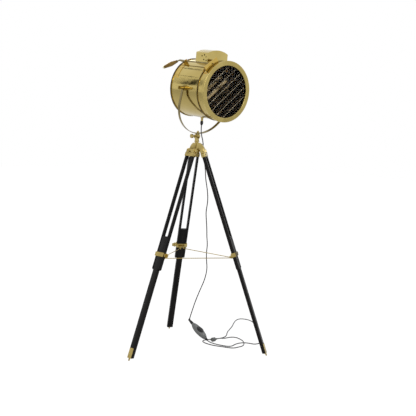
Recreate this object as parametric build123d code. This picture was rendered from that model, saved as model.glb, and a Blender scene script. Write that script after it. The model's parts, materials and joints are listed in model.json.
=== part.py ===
from build123d import *

import math
import os

# A spotlight floor lamp on a wooden tripod.
# The head is a drum with a vent hood, a shutter behind the glass and an operating lever.
# It tilts in a yoke, the yoke leans on a knuckle, and the knuckle turns on the hub.
# Each leg folds on the hub, slides between two rails and is tied to the next leg by a rod.
# Lengths are in millimetres and angles in degrees. The lamp faces -Y and stands on Z = 0.

# Stance of the tripod
HINGE_HEIGHT = 1178.2
HINGE_RADIUS = 40.0
LEG_SPREAD = 19.9
LEG_AZIMUTHS = (35.7, 155.7, 275.7)
LUG_HEIGHT = 562.0
LUG_BELOW_COLLAR = 21.0
LUG_INSET = 17.5
RAIL_PAST_COLLAR = 91.0
LOWER_LEG_OVERLAP = 109.0
LOWER_LEG_SHORTENING = 16.0
YOKE_LEAN = 15.6
HEAD_PITCH = 4.4
HANDLE_ANGLE = 35.5
SLAT_ANGLE = 40.5

# Fits
CLEARANCE = 0.3
PIN_PLAY = 0.05
OVERRUN = 6.0

# Hub casting, heights from its top face
HUB_RISE = 55.0
FLANGE_RADIUS = 16.0
FLANGE_THICKNESS = 4.0
GROOVE_RADIUS = 12.5
GROOVE_WIDTH = 3.0
BELL_TOP_RADIUS = 11.0
BELL_MOUTH_RADIUS = 13.5
BELL_LENGTH = 38.0
BELL_WALL = 2.0
HOLLOW_DEPTH = 14.0
ARM_THICKNESS = 18.0
ARM_SHOULDER = 20.0
ARM_TOP_DROP = 10.0
ARM_ROOT_HEIGHT = 21.0
ARM_BULGE_OUT = 43.0
ARM_BULGE_UP = 24.0
EYE_RADIUS = 12.0
HINGE_BOLT_RADIUS = 4.0
BOLT_HEAD_RADIUS = 8.0
BOLT_HEAD_THICKNESS = 5.0

# Leg caps and rails
CHEEK_RADIUS = 13.0
CHEEK_OUTER = 28.0
CAP_HALF_WIDTH = 32.0
CAP_TOP = 14.0
CAP_BOTTOM = 38.0
CAP_CHAMFER = 3.5
RAIL_THICKNESS = 12.0
RAIL_DEPTH = 20.0
RAIL_INNER = 18.0
SOCKET_DEPTH = 18.0

# Lower legs and feet
LOWER_LEG_ROUNDING = 6.0
SHOE_THICKNESS = 2.5
SHOE_LENGTH = 58.0
SHOE_WIDTH = 30.0
SHOE_TOE = 3.0
FOOT_PIN_RADIUS = 4.5
FOOT_PIN_OFFSET = 7.0

# Leg collars with their thumbscrews and stretcher lugs
COLLAR_HEIGHT = 24.0
COLLAR_WALL = 4.0
SCREW_BOSS_RADIUS = 8.0
SCREW_BOSS_LENGTH = 5.0
SCREW_RADIUS = 3.0
SCREW_HEAD_RADIUS = 13.0
SCREW_HEAD_THICKNESS = 6.0
SCREW_WING_LENGTH = 13.0
SCREW_WING_WIDTH = 20.0
SCREW_WING_THICKNESS = 4.0
LUG_OFFSET = 9.0
LUG_TAB_REACH_IN = 9.0
LUG_TAB_REACH_OUT = 12.0
LUG_TAB_MARGIN = 9.0
LUG_TAB_RISE = 8.0
LUG_TAB_THICKNESS = 4.0
LUG_CHEEK_THICKNESS = 3.0
LUG_PIN_RADIUS = 2.0

# Stretcher rods
ROD_RADIUS = 2.25
ROD_EYE_RADIUS = 6.0
ROD_EYE_THICKNESS = 4.4
ROD_HOOK_RISE = 14.0
HOOK_PLAY = 3.25

# Swivel post, its fork and the knuckle
POST_RADIUS = 12.5
POST_BASE = 15.0
KNUCKLE_RISE = 28.0
EAR_INNER = 7.3
EAR_RADIUS = 12.0
PIVOT_PIN_RADIUS = 7.0
THREAD_RADIUS = 6.0
THREAD_LENGTH = 12.0
SWIVEL_NUT_RADIUS = 10.0
SWIVEL_NUT_HEIGHT = 7.0
KNUCKLE_BOLT_RADIUS = 4.0
KNUCKLE_BOLT_END = 31.0
KNOB_SLEEVE_RADIUS = 6.0
KNOB_SLEEVE_END = 34.0
KNOB_RADIUS = 12.0
KNOB_THICKNESS = 10.0

# Yoke
PAD_BOTTOM = 12.5
PAD_RADIUS = 13.0
YOKE_BOTTOM = 16.0
YOKE_CLEARANCE = 20.0
STRAP_THICKNESS = 3.5
STRAP_WIDTH = 16.0
YOKE_ARM = 82.0
STRAP_EYE_RADIUS = 11.0
YOKE_STUD_RADIUS = 4.0
YOKE_STUD_LENGTH = 14.0
NUT_RADIUS = 8.0
NUT_HEIGHT = 7.0
NUT_DOME_RADIUS = 6.0

# Drum and its fronts, places measured forward from the tilt axis
DRUM_RADIUS = 164.0
DRUM_WALL = 2.0
DRUM_BACK = -130.0
DRUM_FRONT = 106.0
COVER_RIM_PROUD = 4.0
COVER_RIM_LENGTH = 10.0
COVER_RIM_BACK = 4.0
COVER_THICKNESS = 1.5
COVER_DOME = 12.0
COLLAR_PROUD = 2.0
COLLAR_FRONT = 159.0
COLLAR_BEAD_PROUD = 5.5
COLLAR_BEAD_LENGTH = 6.0
GLASS_LIP_INSET = 14.0
GLASS_LIP_THICKNESS = 3.0
GLASS_INSET = 9.0
GLASS_THICKNESS = 3.0
BEZEL_PROUD = 8.0
BEZEL_INSET = 18.0
BEZEL_BACK = 150.0
BEZEL_FLANGE = 6.0
BEZEL_ROUNDING = 2.0

# Shutter
SLAT_COUNT = 6
SLAT_PITCH_SHARE = 0.257
SLAT_DROP = 8.0
SLAT_GAP = 0.6
SLAT_THICKNESS = 1.6
SLAT_CENTRE = 132.0
SLAT_INSET = 6.0
SLAT_PIN_RADIUS = 1.5
ROD_STANDOFF = 18.0
SHUTTER_ROD_RADIUS = 3.5
SHUTTER_ROD_BACK = -99.5
SHUTTER_ROD_FRONT = 150.0
LUG_PLATE_BACK = 143.0
LUG_PLATE_THICKNESS = 3.0
LUG_PLATE_LEFT = 58.0
LUG_PLATE_RIGHT = 42.0
LUG_PLATE_RISE = 35.0
LUG_FOOT_BACK = 126.0
LUG_FOOT_THICKNESS = 2.5
LUG_BRACE_WIDTH = 6.0
LUG_BRACE_THICKNESS = 3.0
LUG_BRACE_RUN = 35.5
GUIDE_BACK = -91.0
GUIDE_THICKNESS = 4.0
GUIDE_HALF_WIDTH = 9.0
LEVER_PIVOT_STANDOFF = 8.0
LEVER_PIVOT_PLACE = -105.0
LEVER_PIN_RADIUS = 3.0
LEVER_HUB_RADIUS = 5.5
LEVER_THICKNESS = 7.0
LEVER_ARM_HEIGHT = 14.0
LEVER_ARM_DEPTH = 9.0
BRACKET_CHEEK_THICKNESS = 3.0
BRACKET_BACK = -119.0
BRACKET_FRONT = -87.0
STRAP_FOOT_THICKNESS = 2.0
STRAP_FOOT_SWEEP = 36.0
LEVER_SHANK_RADIUS = 4.0
GRIP_START_RADIUS = 6.5
GRIP_MIDDLE_RADIUS = 12.0
GRIP_END_RADIUS = 8.5
GRIP_START_SHARE = 0.14
LEVER_BEND_RISE = 20.0
LEVER_BEND_PLACE = -143.0
LEVER_END_SIDE = -54.0
LEVER_END_DROP = 6.0
LEVER_END_PLACE = -255.0

# Light source
REFLECTOR_THICKNESS = 1.5
REFLECTOR_RIM_PLACE = 70.0
REFLECTOR_MIDDLE_RADIUS = 105.0
REFLECTOR_MIDDLE_PLACE = 0.0
REFLECTOR_HOLE = 22.0
REFLECTOR_BACK = -40.0
SOCKET_RADIUS = 20.0
SOCKET_BACK = -95.0
SOCKET_FRONT = -45.0
SOCKET_STRAP_WIDTH = 24.0
SOCKET_STRAP_THICKNESS = 4.0
BULB_RADIUS = 30.0
BULB_CENTRE = 8.0
BULB_NECK_RADIUS = 13.0

# Vent hood on top of the drum
HOOD_HALF_WIDTH = 74.0
HOOD_SHOULDER_RISE = 41.0
HOOD_CROWN = 18.0
HOOD_BACK = -40.0
HOOD_FRONT = 63.0
HOOD_WALL = 1.5
VENT_RADIUS = 4.5
VENT_PLACES = ((19.0, 13.0), (13.0, 34.0), (23.0, 48.0), (39.0, 30.0), (43.0, 51.0))
DRUM_VENT_WIDTH = 90.0
DRUM_VENT_LENGTH = 12.0
DRUM_VENT_PLACES = (-20.0, 8.0, 36.0)

# Trunnions and their wing knobs
TRUNNION_RADIUS = 15.0
TRUNNION_STUD_RADIUS = 5.0
TRUNNION_STUD_LENGTH = 12.0
WING_WASHER_RADIUS = 9.5
WING_WASHER_THICKNESS = 4.0
WING_HUB_RADIUS = 7.5
WING_HUB_LENGTH = 18.0
WING_HEIGHT = 19.0
WING_THICKNESS = 5.0
WING_LENGTH = 32.0

# Cable gland and cord
GLAND_PLACE = -24.0
GLAND_FLANGE_RADIUS = 10.0
GLAND_FLANGE_THICKNESS = 4.0
GLAND_RADIUS = 7.0
GLAND_LENGTH = 20.0
RELIEF_LENGTH = 24.0
RELIEF_START_RADIUS = 6.0
RELIEF_END_RADIUS = 4.0
CORD_RADIUS = 3.0
CORD_LEAD = 33.0
CORNER_SHARE = 0.45

# Foot switch and plug
SWITCH_TOP = (144.0, 170.0, 124.7)
SWITCH_BOTTOM = (180.0, 34.0, 12.0)
SWITCH_BOOT_LENGTH = 8.0
SWITCH_NECK_LENGTH = 30.0
SWITCH_END_LENGTH = 14.0
SWITCH_LEAD = 8.0
SWITCH_END_RADIUS = 5.0
SWITCH_KNEE_RADIUS = 6.0
SWITCH_NECK_RADIUS = 10.0
SWITCH_TAIL_RADIUS = 8.0
SWITCH_TIP_COVER = 10.0
SWITCH_WIDTH = 52.0
SWITCH_DEPTH = 26.0
BUTTON_RADIUS = 20.0
BUTTON_RISE = 4.0
BUTTON_STEP_RADIUS = 13.0
BUTTON_STEP_RISE = 2.5
BUTTON_SINK = 6.0
BUTTON_TRAVEL = 3.0
PLUG_BACK = (258.0, 31.0, 13.0)
PLUG_FRONT = (200.0, 27.0, 13.0)
PLUG_LEAD = 20.0
PLUG_SLEEVE_LENGTH = 18.0
PLUG_BODY_LENGTH = 28.0
PLUG_RADIUS = 13.0
PLUG_BLADE_WIDTH = 6.0
PLUG_BLADE_THICKNESS = 1.6
PLUG_BLADE_SPACING = 12.7

# The cord hangs from the gland, crosses the hub between two arms and falls to the foot switch.
# Its points near the hub are measured from the top face of the hub.
HUB_POINTS = ((5, -37, 26.8), (22, -27, 4.8), (41, -10, -17.2), (47, -5, -34.7))

# The points of the fall are drawn for this hinge height, and they rise or sink with the real one.
FALL_DRAWN_FOR = 1178.2
FALL_DRAWING = (
    (53, 0, 1181), (59, 1, 1149), (66, 0, 1106), (82, 8, 1062), (96, 18, 1006), (112, 19, 950),
    (126, 26, 900), (131, 32, 860), (133, 46, 805), (146, 53, 750), (156, 57, 698), (165, 64, 646),
    (175, 67, 600), (178, 77, 553), (186, 83, 505), (198, 86, 444), (194, 102, 375), (181, 126, 309),
    (169, 148, 243), (158, 164, 178),
)

# The floor length makes one wide loop and one small one before it comes back to the plug.
LOOP_POINTS = (
    (184, 6, 4), (186, -18, 3), (190, -46, 3), (200, -78, 3), (212, -110, 3), (238, -124, 3), (275, -106, 3),
    (316, -92, 3), (358, -98, 3), (380, -126, 3), (388, -162, 3), (424, -166, 3), (472, -140, 3), (524, -94, 3),
    (574, -30, 3), (624, 40, 3), (670, 108, 3), (722, 172, 3), (768, 235, 3), (806, 300, 3), (812, 366, 3),
    (775, 396, 3), (722, 370, 3), (656, 318, 3), (590, 258, 3), (515, 202, 3), (446, 150, 3), (390, 92, 3),
    (346, 64, 3), (302, 58, 3), (262, 64, 3), (228, 74, 3), (194, 78, 3), (164, 64, 3), (150, 32, 3),
    (148, -4, 3), (152, -40, 3), (163, -70, 3), (182, -102, 3), (198, -140, 3), (220, -164, 3), (256, -160, 3),
    (296, -158, 3), (330, -136, 7), (358, -98, 11), (382, -56, 7), (402, -16, 3), (408, 24, 3), (386, 46, 3),
    (346, 44, 3), (312, 36, 6),
)

# Sizes that follow from the ones above
COLLAR_DISTANCE = (HINGE_HEIGHT - LUG_HEIGHT - LUG_BELOW_COLLAR) / math.cos(math.radians(LEG_SPREAD))
RAIL_END = COLLAR_DISTANCE + RAIL_PAST_COLLAR
LOWER_LEG_TOP = COLLAR_DISTANCE - LOWER_LEG_OVERLAP
LOWER_LEG_BOTTOM = HINGE_HEIGHT / math.cos(math.radians(LEG_SPREAD)) - LOWER_LEG_SHORTENING
LUG_RADIUS = HINGE_RADIUS + COLLAR_DISTANCE * math.sin(math.radians(LEG_SPREAD)) - LUG_INSET
YOKE_RADIUS = DRUM_RADIUS + YOKE_CLEARANCE
COVER_RIM_RADIUS = DRUM_RADIUS + COVER_RIM_PROUD
COLLAR_OUTER = DRUM_RADIUS + COLLAR_PROUD
COLLAR_BEAD_RADIUS = DRUM_RADIUS + COLLAR_BEAD_PROUD
GLASS_LIP_INNER = DRUM_RADIUS - GLASS_LIP_INSET
GLASS_RADIUS = DRUM_RADIUS - GLASS_INSET
BEZEL_RADIUS = DRUM_RADIUS + BEZEL_PROUD
BEZEL_OPENING = DRUM_RADIUS - BEZEL_INSET
SLAT_PITCH = DRUM_RADIUS * SLAT_PITCH_SHARE
SLAT_WIDTH = SLAT_PITCH - SLAT_GAP
SLAT_REACH = DRUM_RADIUS - SLAT_INSET
ROD_OFFSET = DRUM_RADIUS + ROD_STANDOFF
LUG_PLATE_TOP = DRUM_RADIUS + LUG_PLATE_RISE
LEVER_PIVOT_OFFSET = DRUM_RADIUS + LEVER_PIVOT_STANDOFF
LEVER_BEND = (0.0, DRUM_RADIUS + LEVER_BEND_RISE, LEVER_BEND_PLACE)
LEVER_END = (LEVER_END_SIDE, DRUM_RADIUS - LEVER_END_DROP, LEVER_END_PLACE)
HOOD_SHOULDER = DRUM_RADIUS + HOOD_SHOULDER_RISE
HOOD_TOP = HOOD_SHOULDER + HOOD_CROWN
DROP_POINTS = tuple((x, y, z + HINGE_HEIGHT + HUB_RISE) for x, y, z in HUB_POINTS)
CORD_JOINT = DROP_POINTS[-1]
FALL_POINTS = tuple((x, y, z * HINGE_HEIGHT / FALL_DRAWN_FOR) for x, y, z in FALL_DRAWING)

# Frames of the assembly, with the hub axis on X = Y = 0
LEG = Pos(0, -HINGE_RADIUS, HINGE_HEIGHT) * Rot(-LEG_SPREAD, 0, 0)
LUG = Pos(0, -LUG_RADIUS, LUG_HEIGHT)
STRETCHER = LUG * Pos(LUG_OFFSET, 0, 0) * Rot(0, 0, 60)
STRETCHER_LENGTH = math.sqrt(3) * LUG_RADIUS - LUG_OFFSET
HUB = Pos(0, 0, HINGE_HEIGHT + HUB_RISE)
YOKE = HUB * Pos(0, 0, KNUCKLE_RISE) * Rot(YOKE_LEAN, 0, 0)
PIVOT_DISTANCE = YOKE_BOTTOM + YOKE_RADIUS + YOKE_ARM
HEAD = YOKE * Pos(0, 0, PIVOT_DISTANCE) * Rot(90 + HEAD_PITCH - YOKE_LEAN, 0, 0)
SIDE = HEAD * Rot(0, 0, HANDLE_ANGLE)
SHUTTER = HEAD * Rot(0, 0, SLAT_ANGLE)


def block(x, y, z):
    """A box between a low and a high limit along each axis."""
    sizes = [high - low for low, high in (x, y, z)]
    middles = [(high + low) / 2 for low, high in (x, y, z)]
    return Pos(*middles) * Box(*sizes)


def bar(axis, radius, start, end):
    """A round bar along one axis, from one place on it to another."""
    turns = {"X": Rot(0, 90, 0), "Y": Rot(-90, 0, 0), "Z": Rot(0, 0, 0)}
    return turns[axis] * Pos(0, 0, (start + end) / 2) * Cylinder(radius, abs(end - start))


def tube(outer, inner, start, end):
    """A ring about Z."""
    return bar("Z", outer, start, end) - bar("Z", inner, start - OVERRUN, end + OVERRUN)


def turned(points):
    """A solid of revolution about Z from the (radius, height) corners of its half section."""
    corners = [(radius, 0, height) for radius, height in points]
    return revolve(make_face(Polyline(*corners, close=True)), Axis.Z)


def slab(edges, direction, thickness):
    """A flat piece with a closed outline, centred on the plane of the outline."""
    return extrude(make_face(edges), thickness / 2, dir=direction, both=True)


def polygon(points, direction, thickness):
    """A flat piece with straight edges between its corners."""
    return slab([Polyline(*points, close=True)], direction, thickness)


def bell():
    """The flared sleeve of the hub, its flange and the groove below the flange."""
    groove_top = -FLANGE_THICKNESS
    bell_top = groove_top - GROOVE_WIDTH
    bell_mouth = bell_top - BELL_LENGTH
    return turned((
        (0, 0), (FLANGE_RADIUS, 0), (FLANGE_RADIUS, groove_top), (GROOVE_RADIUS, groove_top),
        (BELL_TOP_RADIUS, bell_top), (BELL_MOUTH_RADIUS, bell_mouth), (0, bell_mouth),
    ))


def hub_arm():
    """One arm of the hub, which ends in the eye of a leg hinge."""
    top = HUB_RISE - ARM_TOP_DROP
    out = -HINGE_RADIUS
    tip = out - EYE_RADIUS
    heel = out + EYE_RADIUS
    edges = [
        Line((0, 0, ARM_ROOT_HEIGHT), (0, 0, top)),
        Line((0, 0, top), (0, -ARM_SHOULDER, top)),
        ThreePointArc((0, -ARM_SHOULDER, top), (0, -ARM_BULGE_OUT, ARM_BULGE_UP), (0, tip, 0)),
        ThreePointArc((0, tip, 0), (0, out, -EYE_RADIUS), (0, heel, 0)),
        Line((0, heel, 0), (0, 0, ARM_ROOT_HEIGHT)),
    ]
    return slab(edges, (1, 0, 0), ARM_THICKNESS)


def hinge_axis(radius, start, end):
    """A round bar on the hinge axis of the leg at azimuth zero, about hinge height."""
    return Pos(0, -HINGE_RADIUS, 0) * bar("X", radius, start, end)


def hub_casting():
    """The bell with three arms, bored for the swivel pin and the hinge bolts."""
    mouth = -FLANGE_THICKNESS - GROOVE_WIDTH - BELL_LENGTH
    body = bell()
    for azimuth in LEG_AZIMUTHS:
        body += Rot(0, 0, azimuth) * Pos(0, 0, -HUB_RISE) * hub_arm()
    body -= bar("Z", BELL_MOUTH_RADIUS - BELL_WALL, mouth - OVERRUN, mouth + HOLLOW_DEPTH)
    body -= bar("Z", PIVOT_PIN_RADIUS + PIN_PLAY, mouth - OVERRUN, OVERRUN)
    half = ARM_THICKNESS / 2 + OVERRUN
    for azimuth in LEG_AZIMUTHS:
        body -= Rot(0, 0, azimuth) * Pos(0, 0, -HUB_RISE) * hinge_axis(HINGE_BOLT_RADIUS, -half, half)
    return HUB * body


def hinge_bolt():
    """A bolt with a round head and a round nut outside the cheeks of a leg cap."""
    seat = CHEEK_OUTER + CLEARANCE
    end = seat + BOLT_HEAD_THICKNESS
    shank = hinge_axis(HINGE_BOLT_RADIUS, -seat, seat)
    heads = hinge_axis(BOLT_HEAD_RADIUS, seat, end) + hinge_axis(BOLT_HEAD_RADIUS, -end, -seat)
    return Pos(0, 0, HINGE_HEIGHT) * (shank + heads)


def hinge_bolts():
    """The three bolts that the legs fold on."""
    return Compound([Rot(0, 0, azimuth) * hinge_bolt() for azimuth in LEG_AZIMUTHS])


def rail_box(side, grow=0.0):
    """The straight stretch of one rail, on the plus or minus side of its leg."""
    inner = RAIL_INNER - grow
    outer = RAIL_INNER + RAIL_THICKNESS + grow
    limits = (inner, outer) if side > 0 else (-outer, -inner)
    half = RAIL_DEPTH / 2
    top = SOCKET_DEPTH - CAP_BOTTOM
    return block(limits, (-half - grow, half + grow), (half - RAIL_END, top))


def leg_cap():
    """The brass shoulder piece that forks over a hub arm and holds both rails."""
    inner = ARM_THICKNESS / 2 + CLEARANCE
    depth = (-CHEEK_RADIUS, CHEEK_RADIUS)
    seat = block((-CAP_HALF_WIDTH, CAP_HALF_WIDTH), depth, (-CAP_BOTTOM, -CAP_TOP))
    shoulders = seat.edges().filter_by(Axis.Y).group_by(Axis.Z)[-1]
    cap = chamfer(shoulders, CAP_CHAMFER)
    for low, high in ((inner, CHEEK_OUTER), (-CHEEK_OUTER, -inner)):
        cap += block((low, high), depth, (-CAP_TOP, 0)) + bar("X", CHEEK_RADIUS, low, high)
    cap -= bar("X", HINGE_BOLT_RADIUS + PIN_PLAY, -CAP_HALF_WIDTH, CAP_HALF_WIDTH)
    for side in (1, -1):
        cap -= rail_box(side)
    return LEG * cap


def leg_rails():
    """The two upper rails of a leg, rounded at their lower ends."""
    rails = []
    half = RAIL_DEPTH / 2
    outer = RAIL_INNER + RAIL_THICKNESS
    for side in (1, -1):
        low, high = sorted((side * RAIL_INNER, side * outer))
        rounded_end = Pos(0, 0, half - RAIL_END) * bar("X", half, low, high)
        rails.append(LEG * (rail_box(side) + rounded_end))
    return Compound(rails)


def lower_leg():
    """The sliding lower leg between the rails."""
    half_width = RAIL_INNER - CLEARANCE
    half_depth = RAIL_DEPTH / 2 - CLEARANCE
    height = (-LOWER_LEG_BOTTOM, -LOWER_LEG_TOP)
    leg = block((-half_width, half_width), (-half_depth, half_depth), height)
    toes = leg.edges().filter_by(Axis.X).group_by(Axis.Z)[0]
    return LEG * fillet(toes, LOWER_LEG_ROUNDING)


def foot_shoe():
    """The brass plate on the outer face of the foot, its toe and the pin that stands on the floor."""
    face = RAIL_DEPTH / 2 - CLEARANCE
    outside = face + SHOE_THICKNESS
    half = SHOE_WIDTH / 2
    sole = -LOWER_LEG_BOTTOM - SHOE_TOE
    plate = block((-half, half), (-outside, -face), (sole, sole + SHOE_LENGTH))
    toe = block((-half, half), (-outside, 0), (sole, -LOWER_LEG_BOTTOM))
    lean = math.radians(LEG_SPREAD)
    drop = HINGE_HEIGHT + FOOT_PIN_OFFSET * math.sin(lean) - FOOT_PIN_RADIUS
    tip = -drop / math.cos(lean)
    pin = bar("Z", FOOT_PIN_RADIUS, tip, sole) + Pos(0, 0, tip) * Sphere(FOOT_PIN_RADIUS)
    return LEG * (plate + toe + Pos(0, -FOOT_PIN_OFFSET, 0) * pin)


def stretcher_lug():
    """The tab that takes the hook of one rod and carries the fork of the next."""
    reach = LUG_OFFSET + LUG_TAB_MARGIN
    top = LUG_TAB_RISE + LUG_TAB_THICKNESS
    tab = block((-reach, reach), (-LUG_TAB_REACH_OUT, LUG_TAB_REACH_IN), (LUG_TAB_RISE, top))
    hook_hole = bar("Z", ROD_RADIUS + HOOK_PLAY, 0, top + OVERRUN)
    tab -= Pos(-LUG_OFFSET, 0, 0) * hook_hole
    inner = ROD_EYE_THICKNESS / 2 + CLEARANCE
    outer = inner + LUG_CHEEK_THICKNESS
    fork = bar("Y", LUG_PIN_RADIUS, -outer, outer)
    for low, high in ((inner, outer), (-outer, -inner)):
        fork += bar("Y", ROD_EYE_RADIUS, low, high)
        fork += block((-ROD_EYE_RADIUS, ROD_EYE_RADIUS), (low, high), (0, LUG_TAB_RISE))
    return LUG * tab + STRETCHER * fork


def leg_collar():
    """The brass band round rails and lower leg, with its screw boss and stretcher lug."""
    inner_x = RAIL_INNER + RAIL_THICKNESS
    inner_y = RAIL_DEPTH / 2
    outer_x = inner_x + COLLAR_WALL
    outer_y = inner_y + COLLAR_WALL
    half = COLLAR_HEIGHT / 2
    place = Pos(0, 0, -COLLAR_DISTANCE)
    band = block((-outer_x, outer_x), (-outer_y, outer_y), (-half, half))
    boss_end = outer_x + SCREW_BOSS_LENGTH
    band += bar("X", SCREW_BOSS_RADIUS, outer_x, boss_end)
    collar = LEG * place * band + stretcher_lug()
    cut = half + OVERRUN
    opening = block((-inner_x, inner_x), (-inner_y, inner_y), (-cut, cut))
    opening += bar("X", SCREW_RADIUS + PIN_PLAY, 0, boss_end + OVERRUN)
    return collar - LEG * place * opening


def collar_screw():
    """The thumbscrew that clamps a leg, with its round head and wing."""
    tip = RAIL_INNER + RAIL_THICKNESS + CLEARANCE
    head = RAIL_INNER + RAIL_THICKNESS + COLLAR_WALL + SCREW_BOSS_LENGTH + CLEARANCE
    wing = head + SCREW_HEAD_THICKNESS
    end = wing + SCREW_WING_LENGTH
    half_width = SCREW_WING_WIDTH / 2
    half_thickness = SCREW_WING_THICKNESS / 2
    screw = bar("X", SCREW_RADIUS, tip, head) + bar("X", SCREW_HEAD_RADIUS, head, wing)
    plate = block((wing, end), (-half_thickness, half_thickness), (-half_width, half_width))
    corners = plate.edges().filter_by(Axis.Y).group_by(Axis.X)[-1]
    screw += fillet(corners, half_width / 2)
    return LEG * Pos(0, 0, -COLLAR_DISTANCE) * screw


def stretcher_rod():
    """A rod with an eye at its own collar and an upturned tip in the lug of the next."""
    half = ROD_EYE_THICKNESS / 2
    rod = bar("Y", ROD_EYE_RADIUS, -half, half) + bar("X", ROD_RADIUS, 0, STRETCHER_LENGTH)
    rod -= bar("Y", LUG_PIN_RADIUS + PIN_PLAY, -half - OVERRUN, half + OVERRUN)
    rod += Pos(STRETCHER_LENGTH, 0, 0) * (Sphere(ROD_RADIUS) + bar("Z", ROD_RADIUS, 0, ROD_HOOK_RISE))
    return STRETCHER * rod


def swivel_post():
    """The post that turns on the hub, with its pin below and the fork of the knuckle above."""
    base_top = CLEARANCE + POST_BASE
    depth = (-EAR_RADIUS, EAR_RADIUS)
    post = bar("Z", POST_RADIUS, CLEARANCE, base_top)
    for low, high in ((EAR_INNER, POST_RADIUS), (-POST_RADIUS, -EAR_INNER)):
        ear = block((low, high), depth, (base_top, KNUCKLE_RISE))
        ear += Pos(0, 0, KNUCKLE_RISE) * bar("X", EAR_RADIUS, low, high)
        post += ear & bar("Z", math.hypot(POST_RADIUS, EAR_RADIUS), 0, KNUCKLE_RISE + EAR_RADIUS)
    bolt = bar("X", KNUCKLE_BOLT_RADIUS, -POST_RADIUS - OVERRUN, POST_RADIUS + OVERRUN)
    post -= Pos(0, 0, KNUCKLE_RISE) * bolt
    hollow_roof = HOLLOW_DEPTH - FLANGE_THICKNESS - GROOVE_WIDTH - BELL_LENGTH
    post += bar("Z", PIVOT_PIN_RADIUS, hollow_roof - CLEARANCE, CLEARANCE)
    post += bar("Z", THREAD_RADIUS, hollow_roof - THREAD_LENGTH, hollow_roof)
    return HUB * post


def swivel_nut():
    """The round nut on the swivel pin, inside the bell of the hub."""
    hollow_roof = HOLLOW_DEPTH - FLANGE_THICKNESS - GROOVE_WIDTH - BELL_LENGTH
    top = hollow_roof - CLEARANCE
    return HUB * tube(SWIVEL_NUT_RADIUS, THREAD_RADIUS, top - SWIVEL_NUT_HEIGHT, top)


def knuckle_bolt():
    """The bolt through the fork and the eye of the yoke."""
    bolt = bar("X", KNUCKLE_BOLT_RADIUS, -KNUCKLE_BOLT_END, POST_RADIUS)
    bolt += bar("X", BOLT_HEAD_RADIUS, POST_RADIUS, POST_RADIUS + BOLT_HEAD_THICKNESS)
    return HUB * Pos(0, 0, KNUCKLE_RISE) * bolt


def knuckle_knob():
    """The clamp knob on the threaded end of the knuckle bolt."""
    end = KNOB_SLEEVE_END + KNOB_THICKNESS
    knob = bar("X", KNOB_SLEEVE_RADIUS, -KNOB_SLEEVE_END, -POST_RADIUS - CLEARANCE)
    knob += bar("X", KNOB_RADIUS, -end, -KNOB_SLEEVE_END)
    knob -= bar("X", KNUCKLE_BOLT_RADIUS + PIN_PLAY, -KNUCKLE_BOLT_END - CLEARANCE, 0)
    return HUB * Pos(0, 0, KNUCKLE_RISE) * knob


def knuckle_eye():
    """The eye in the fork, with the pad and the stud that carry the yoke."""
    half = EAR_INNER - CLEARANCE
    eye = bar("X", EAR_RADIUS, -half, half)
    eye += block((-half, half), (-half, half), (0, PAD_BOTTOM))
    eye += bar("Z", PAD_RADIUS, PAD_BOTTOM, YOKE_BOTTOM)
    eye += bar("Z", YOKE_STUD_RADIUS, YOKE_BOTTOM, YOKE_BOTTOM + YOKE_STUD_LENGTH)
    eye -= bar("X", KNUCKLE_BOLT_RADIUS + PIN_PLAY, -half - OVERRUN, half + OVERRUN)
    return YOKE * eye


def yoke_strap():
    """The U of flat bar that holds the head at its trunnions."""
    centre = YOKE_BOTTOM + YOKE_RADIUS
    inner = YOKE_RADIUS - STRAP_THICKNESS
    low = YOKE_BOTTOM
    edges = [
        Line((-YOKE_RADIUS, 0, PIVOT_DISTANCE), (-YOKE_RADIUS, 0, centre)),
        ThreePointArc((-YOKE_RADIUS, 0, centre), (0, 0, low), (YOKE_RADIUS, 0, centre)),
        Line((YOKE_RADIUS, 0, centre), (YOKE_RADIUS, 0, PIVOT_DISTANCE)),
        Line((YOKE_RADIUS, 0, PIVOT_DISTANCE), (inner, 0, PIVOT_DISTANCE)),
        Line((inner, 0, PIVOT_DISTANCE), (inner, 0, centre)),
        ThreePointArc((inner, 0, centre), (0, 0, low + STRAP_THICKNESS), (-inner, 0, centre)),
        Line((-inner, 0, centre), (-inner, 0, PIVOT_DISTANCE)),
        Line((-inner, 0, PIVOT_DISTANCE), (-YOKE_RADIUS, 0, PIVOT_DISTANCE)),
    ]
    strap = slab(edges, (0, 1, 0), STRAP_WIDTH)
    top = Pos(0, 0, PIVOT_DISTANCE)
    for start, end in ((inner, YOKE_RADIUS), (-YOKE_RADIUS, -inner)):
        strap += top * bar("X", STRAP_EYE_RADIUS, start, end)
    reach = YOKE_RADIUS + OVERRUN
    strap -= top * bar("X", TRUNNION_STUD_RADIUS + PIN_PLAY, -reach, reach)
    strap -= bar("Z", YOKE_STUD_RADIUS, 0, low + STRAP_THICKNESS + OVERRUN)
    return YOKE * strap


def yoke_nut():
    """The domed nut that clamps the yoke on its stud."""
    seat = YOKE_BOTTOM + STRAP_THICKNESS + CLEARANCE
    nut = extrude(Pos(0, 0, seat) * RegularPolygon(NUT_RADIUS, 6), NUT_HEIGHT)
    nut += Pos(0, 0, seat + NUT_HEIGHT) * Sphere(NUT_DOME_RADIUS)
    return YOKE * (nut - bar("Z", YOKE_STUD_RADIUS, 0, YOKE_BOTTOM + YOKE_STUD_LENGTH))


def drum_shell():
    """The drum, open at both ends, with vents under the hood."""
    drum = tube(DRUM_RADIUS, DRUM_RADIUS - DRUM_WALL, DRUM_BACK, DRUM_FRONT)
    half = DRUM_VENT_WIDTH / 2
    for place in DRUM_VENT_PLACES:
        drum -= block((-half, half), (0, DRUM_RADIUS + OVERRUN), (place, place + DRUM_VENT_LENGTH))
    return HEAD * drum


def cap_sag(reach, rise, place):
    """How far a spherical dome falls away from its middle at a place along its reach."""
    sphere = (reach ** 2 + rise ** 2) / (2 * rise)
    return sphere - math.sqrt(sphere ** 2 - place ** 2)


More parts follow.
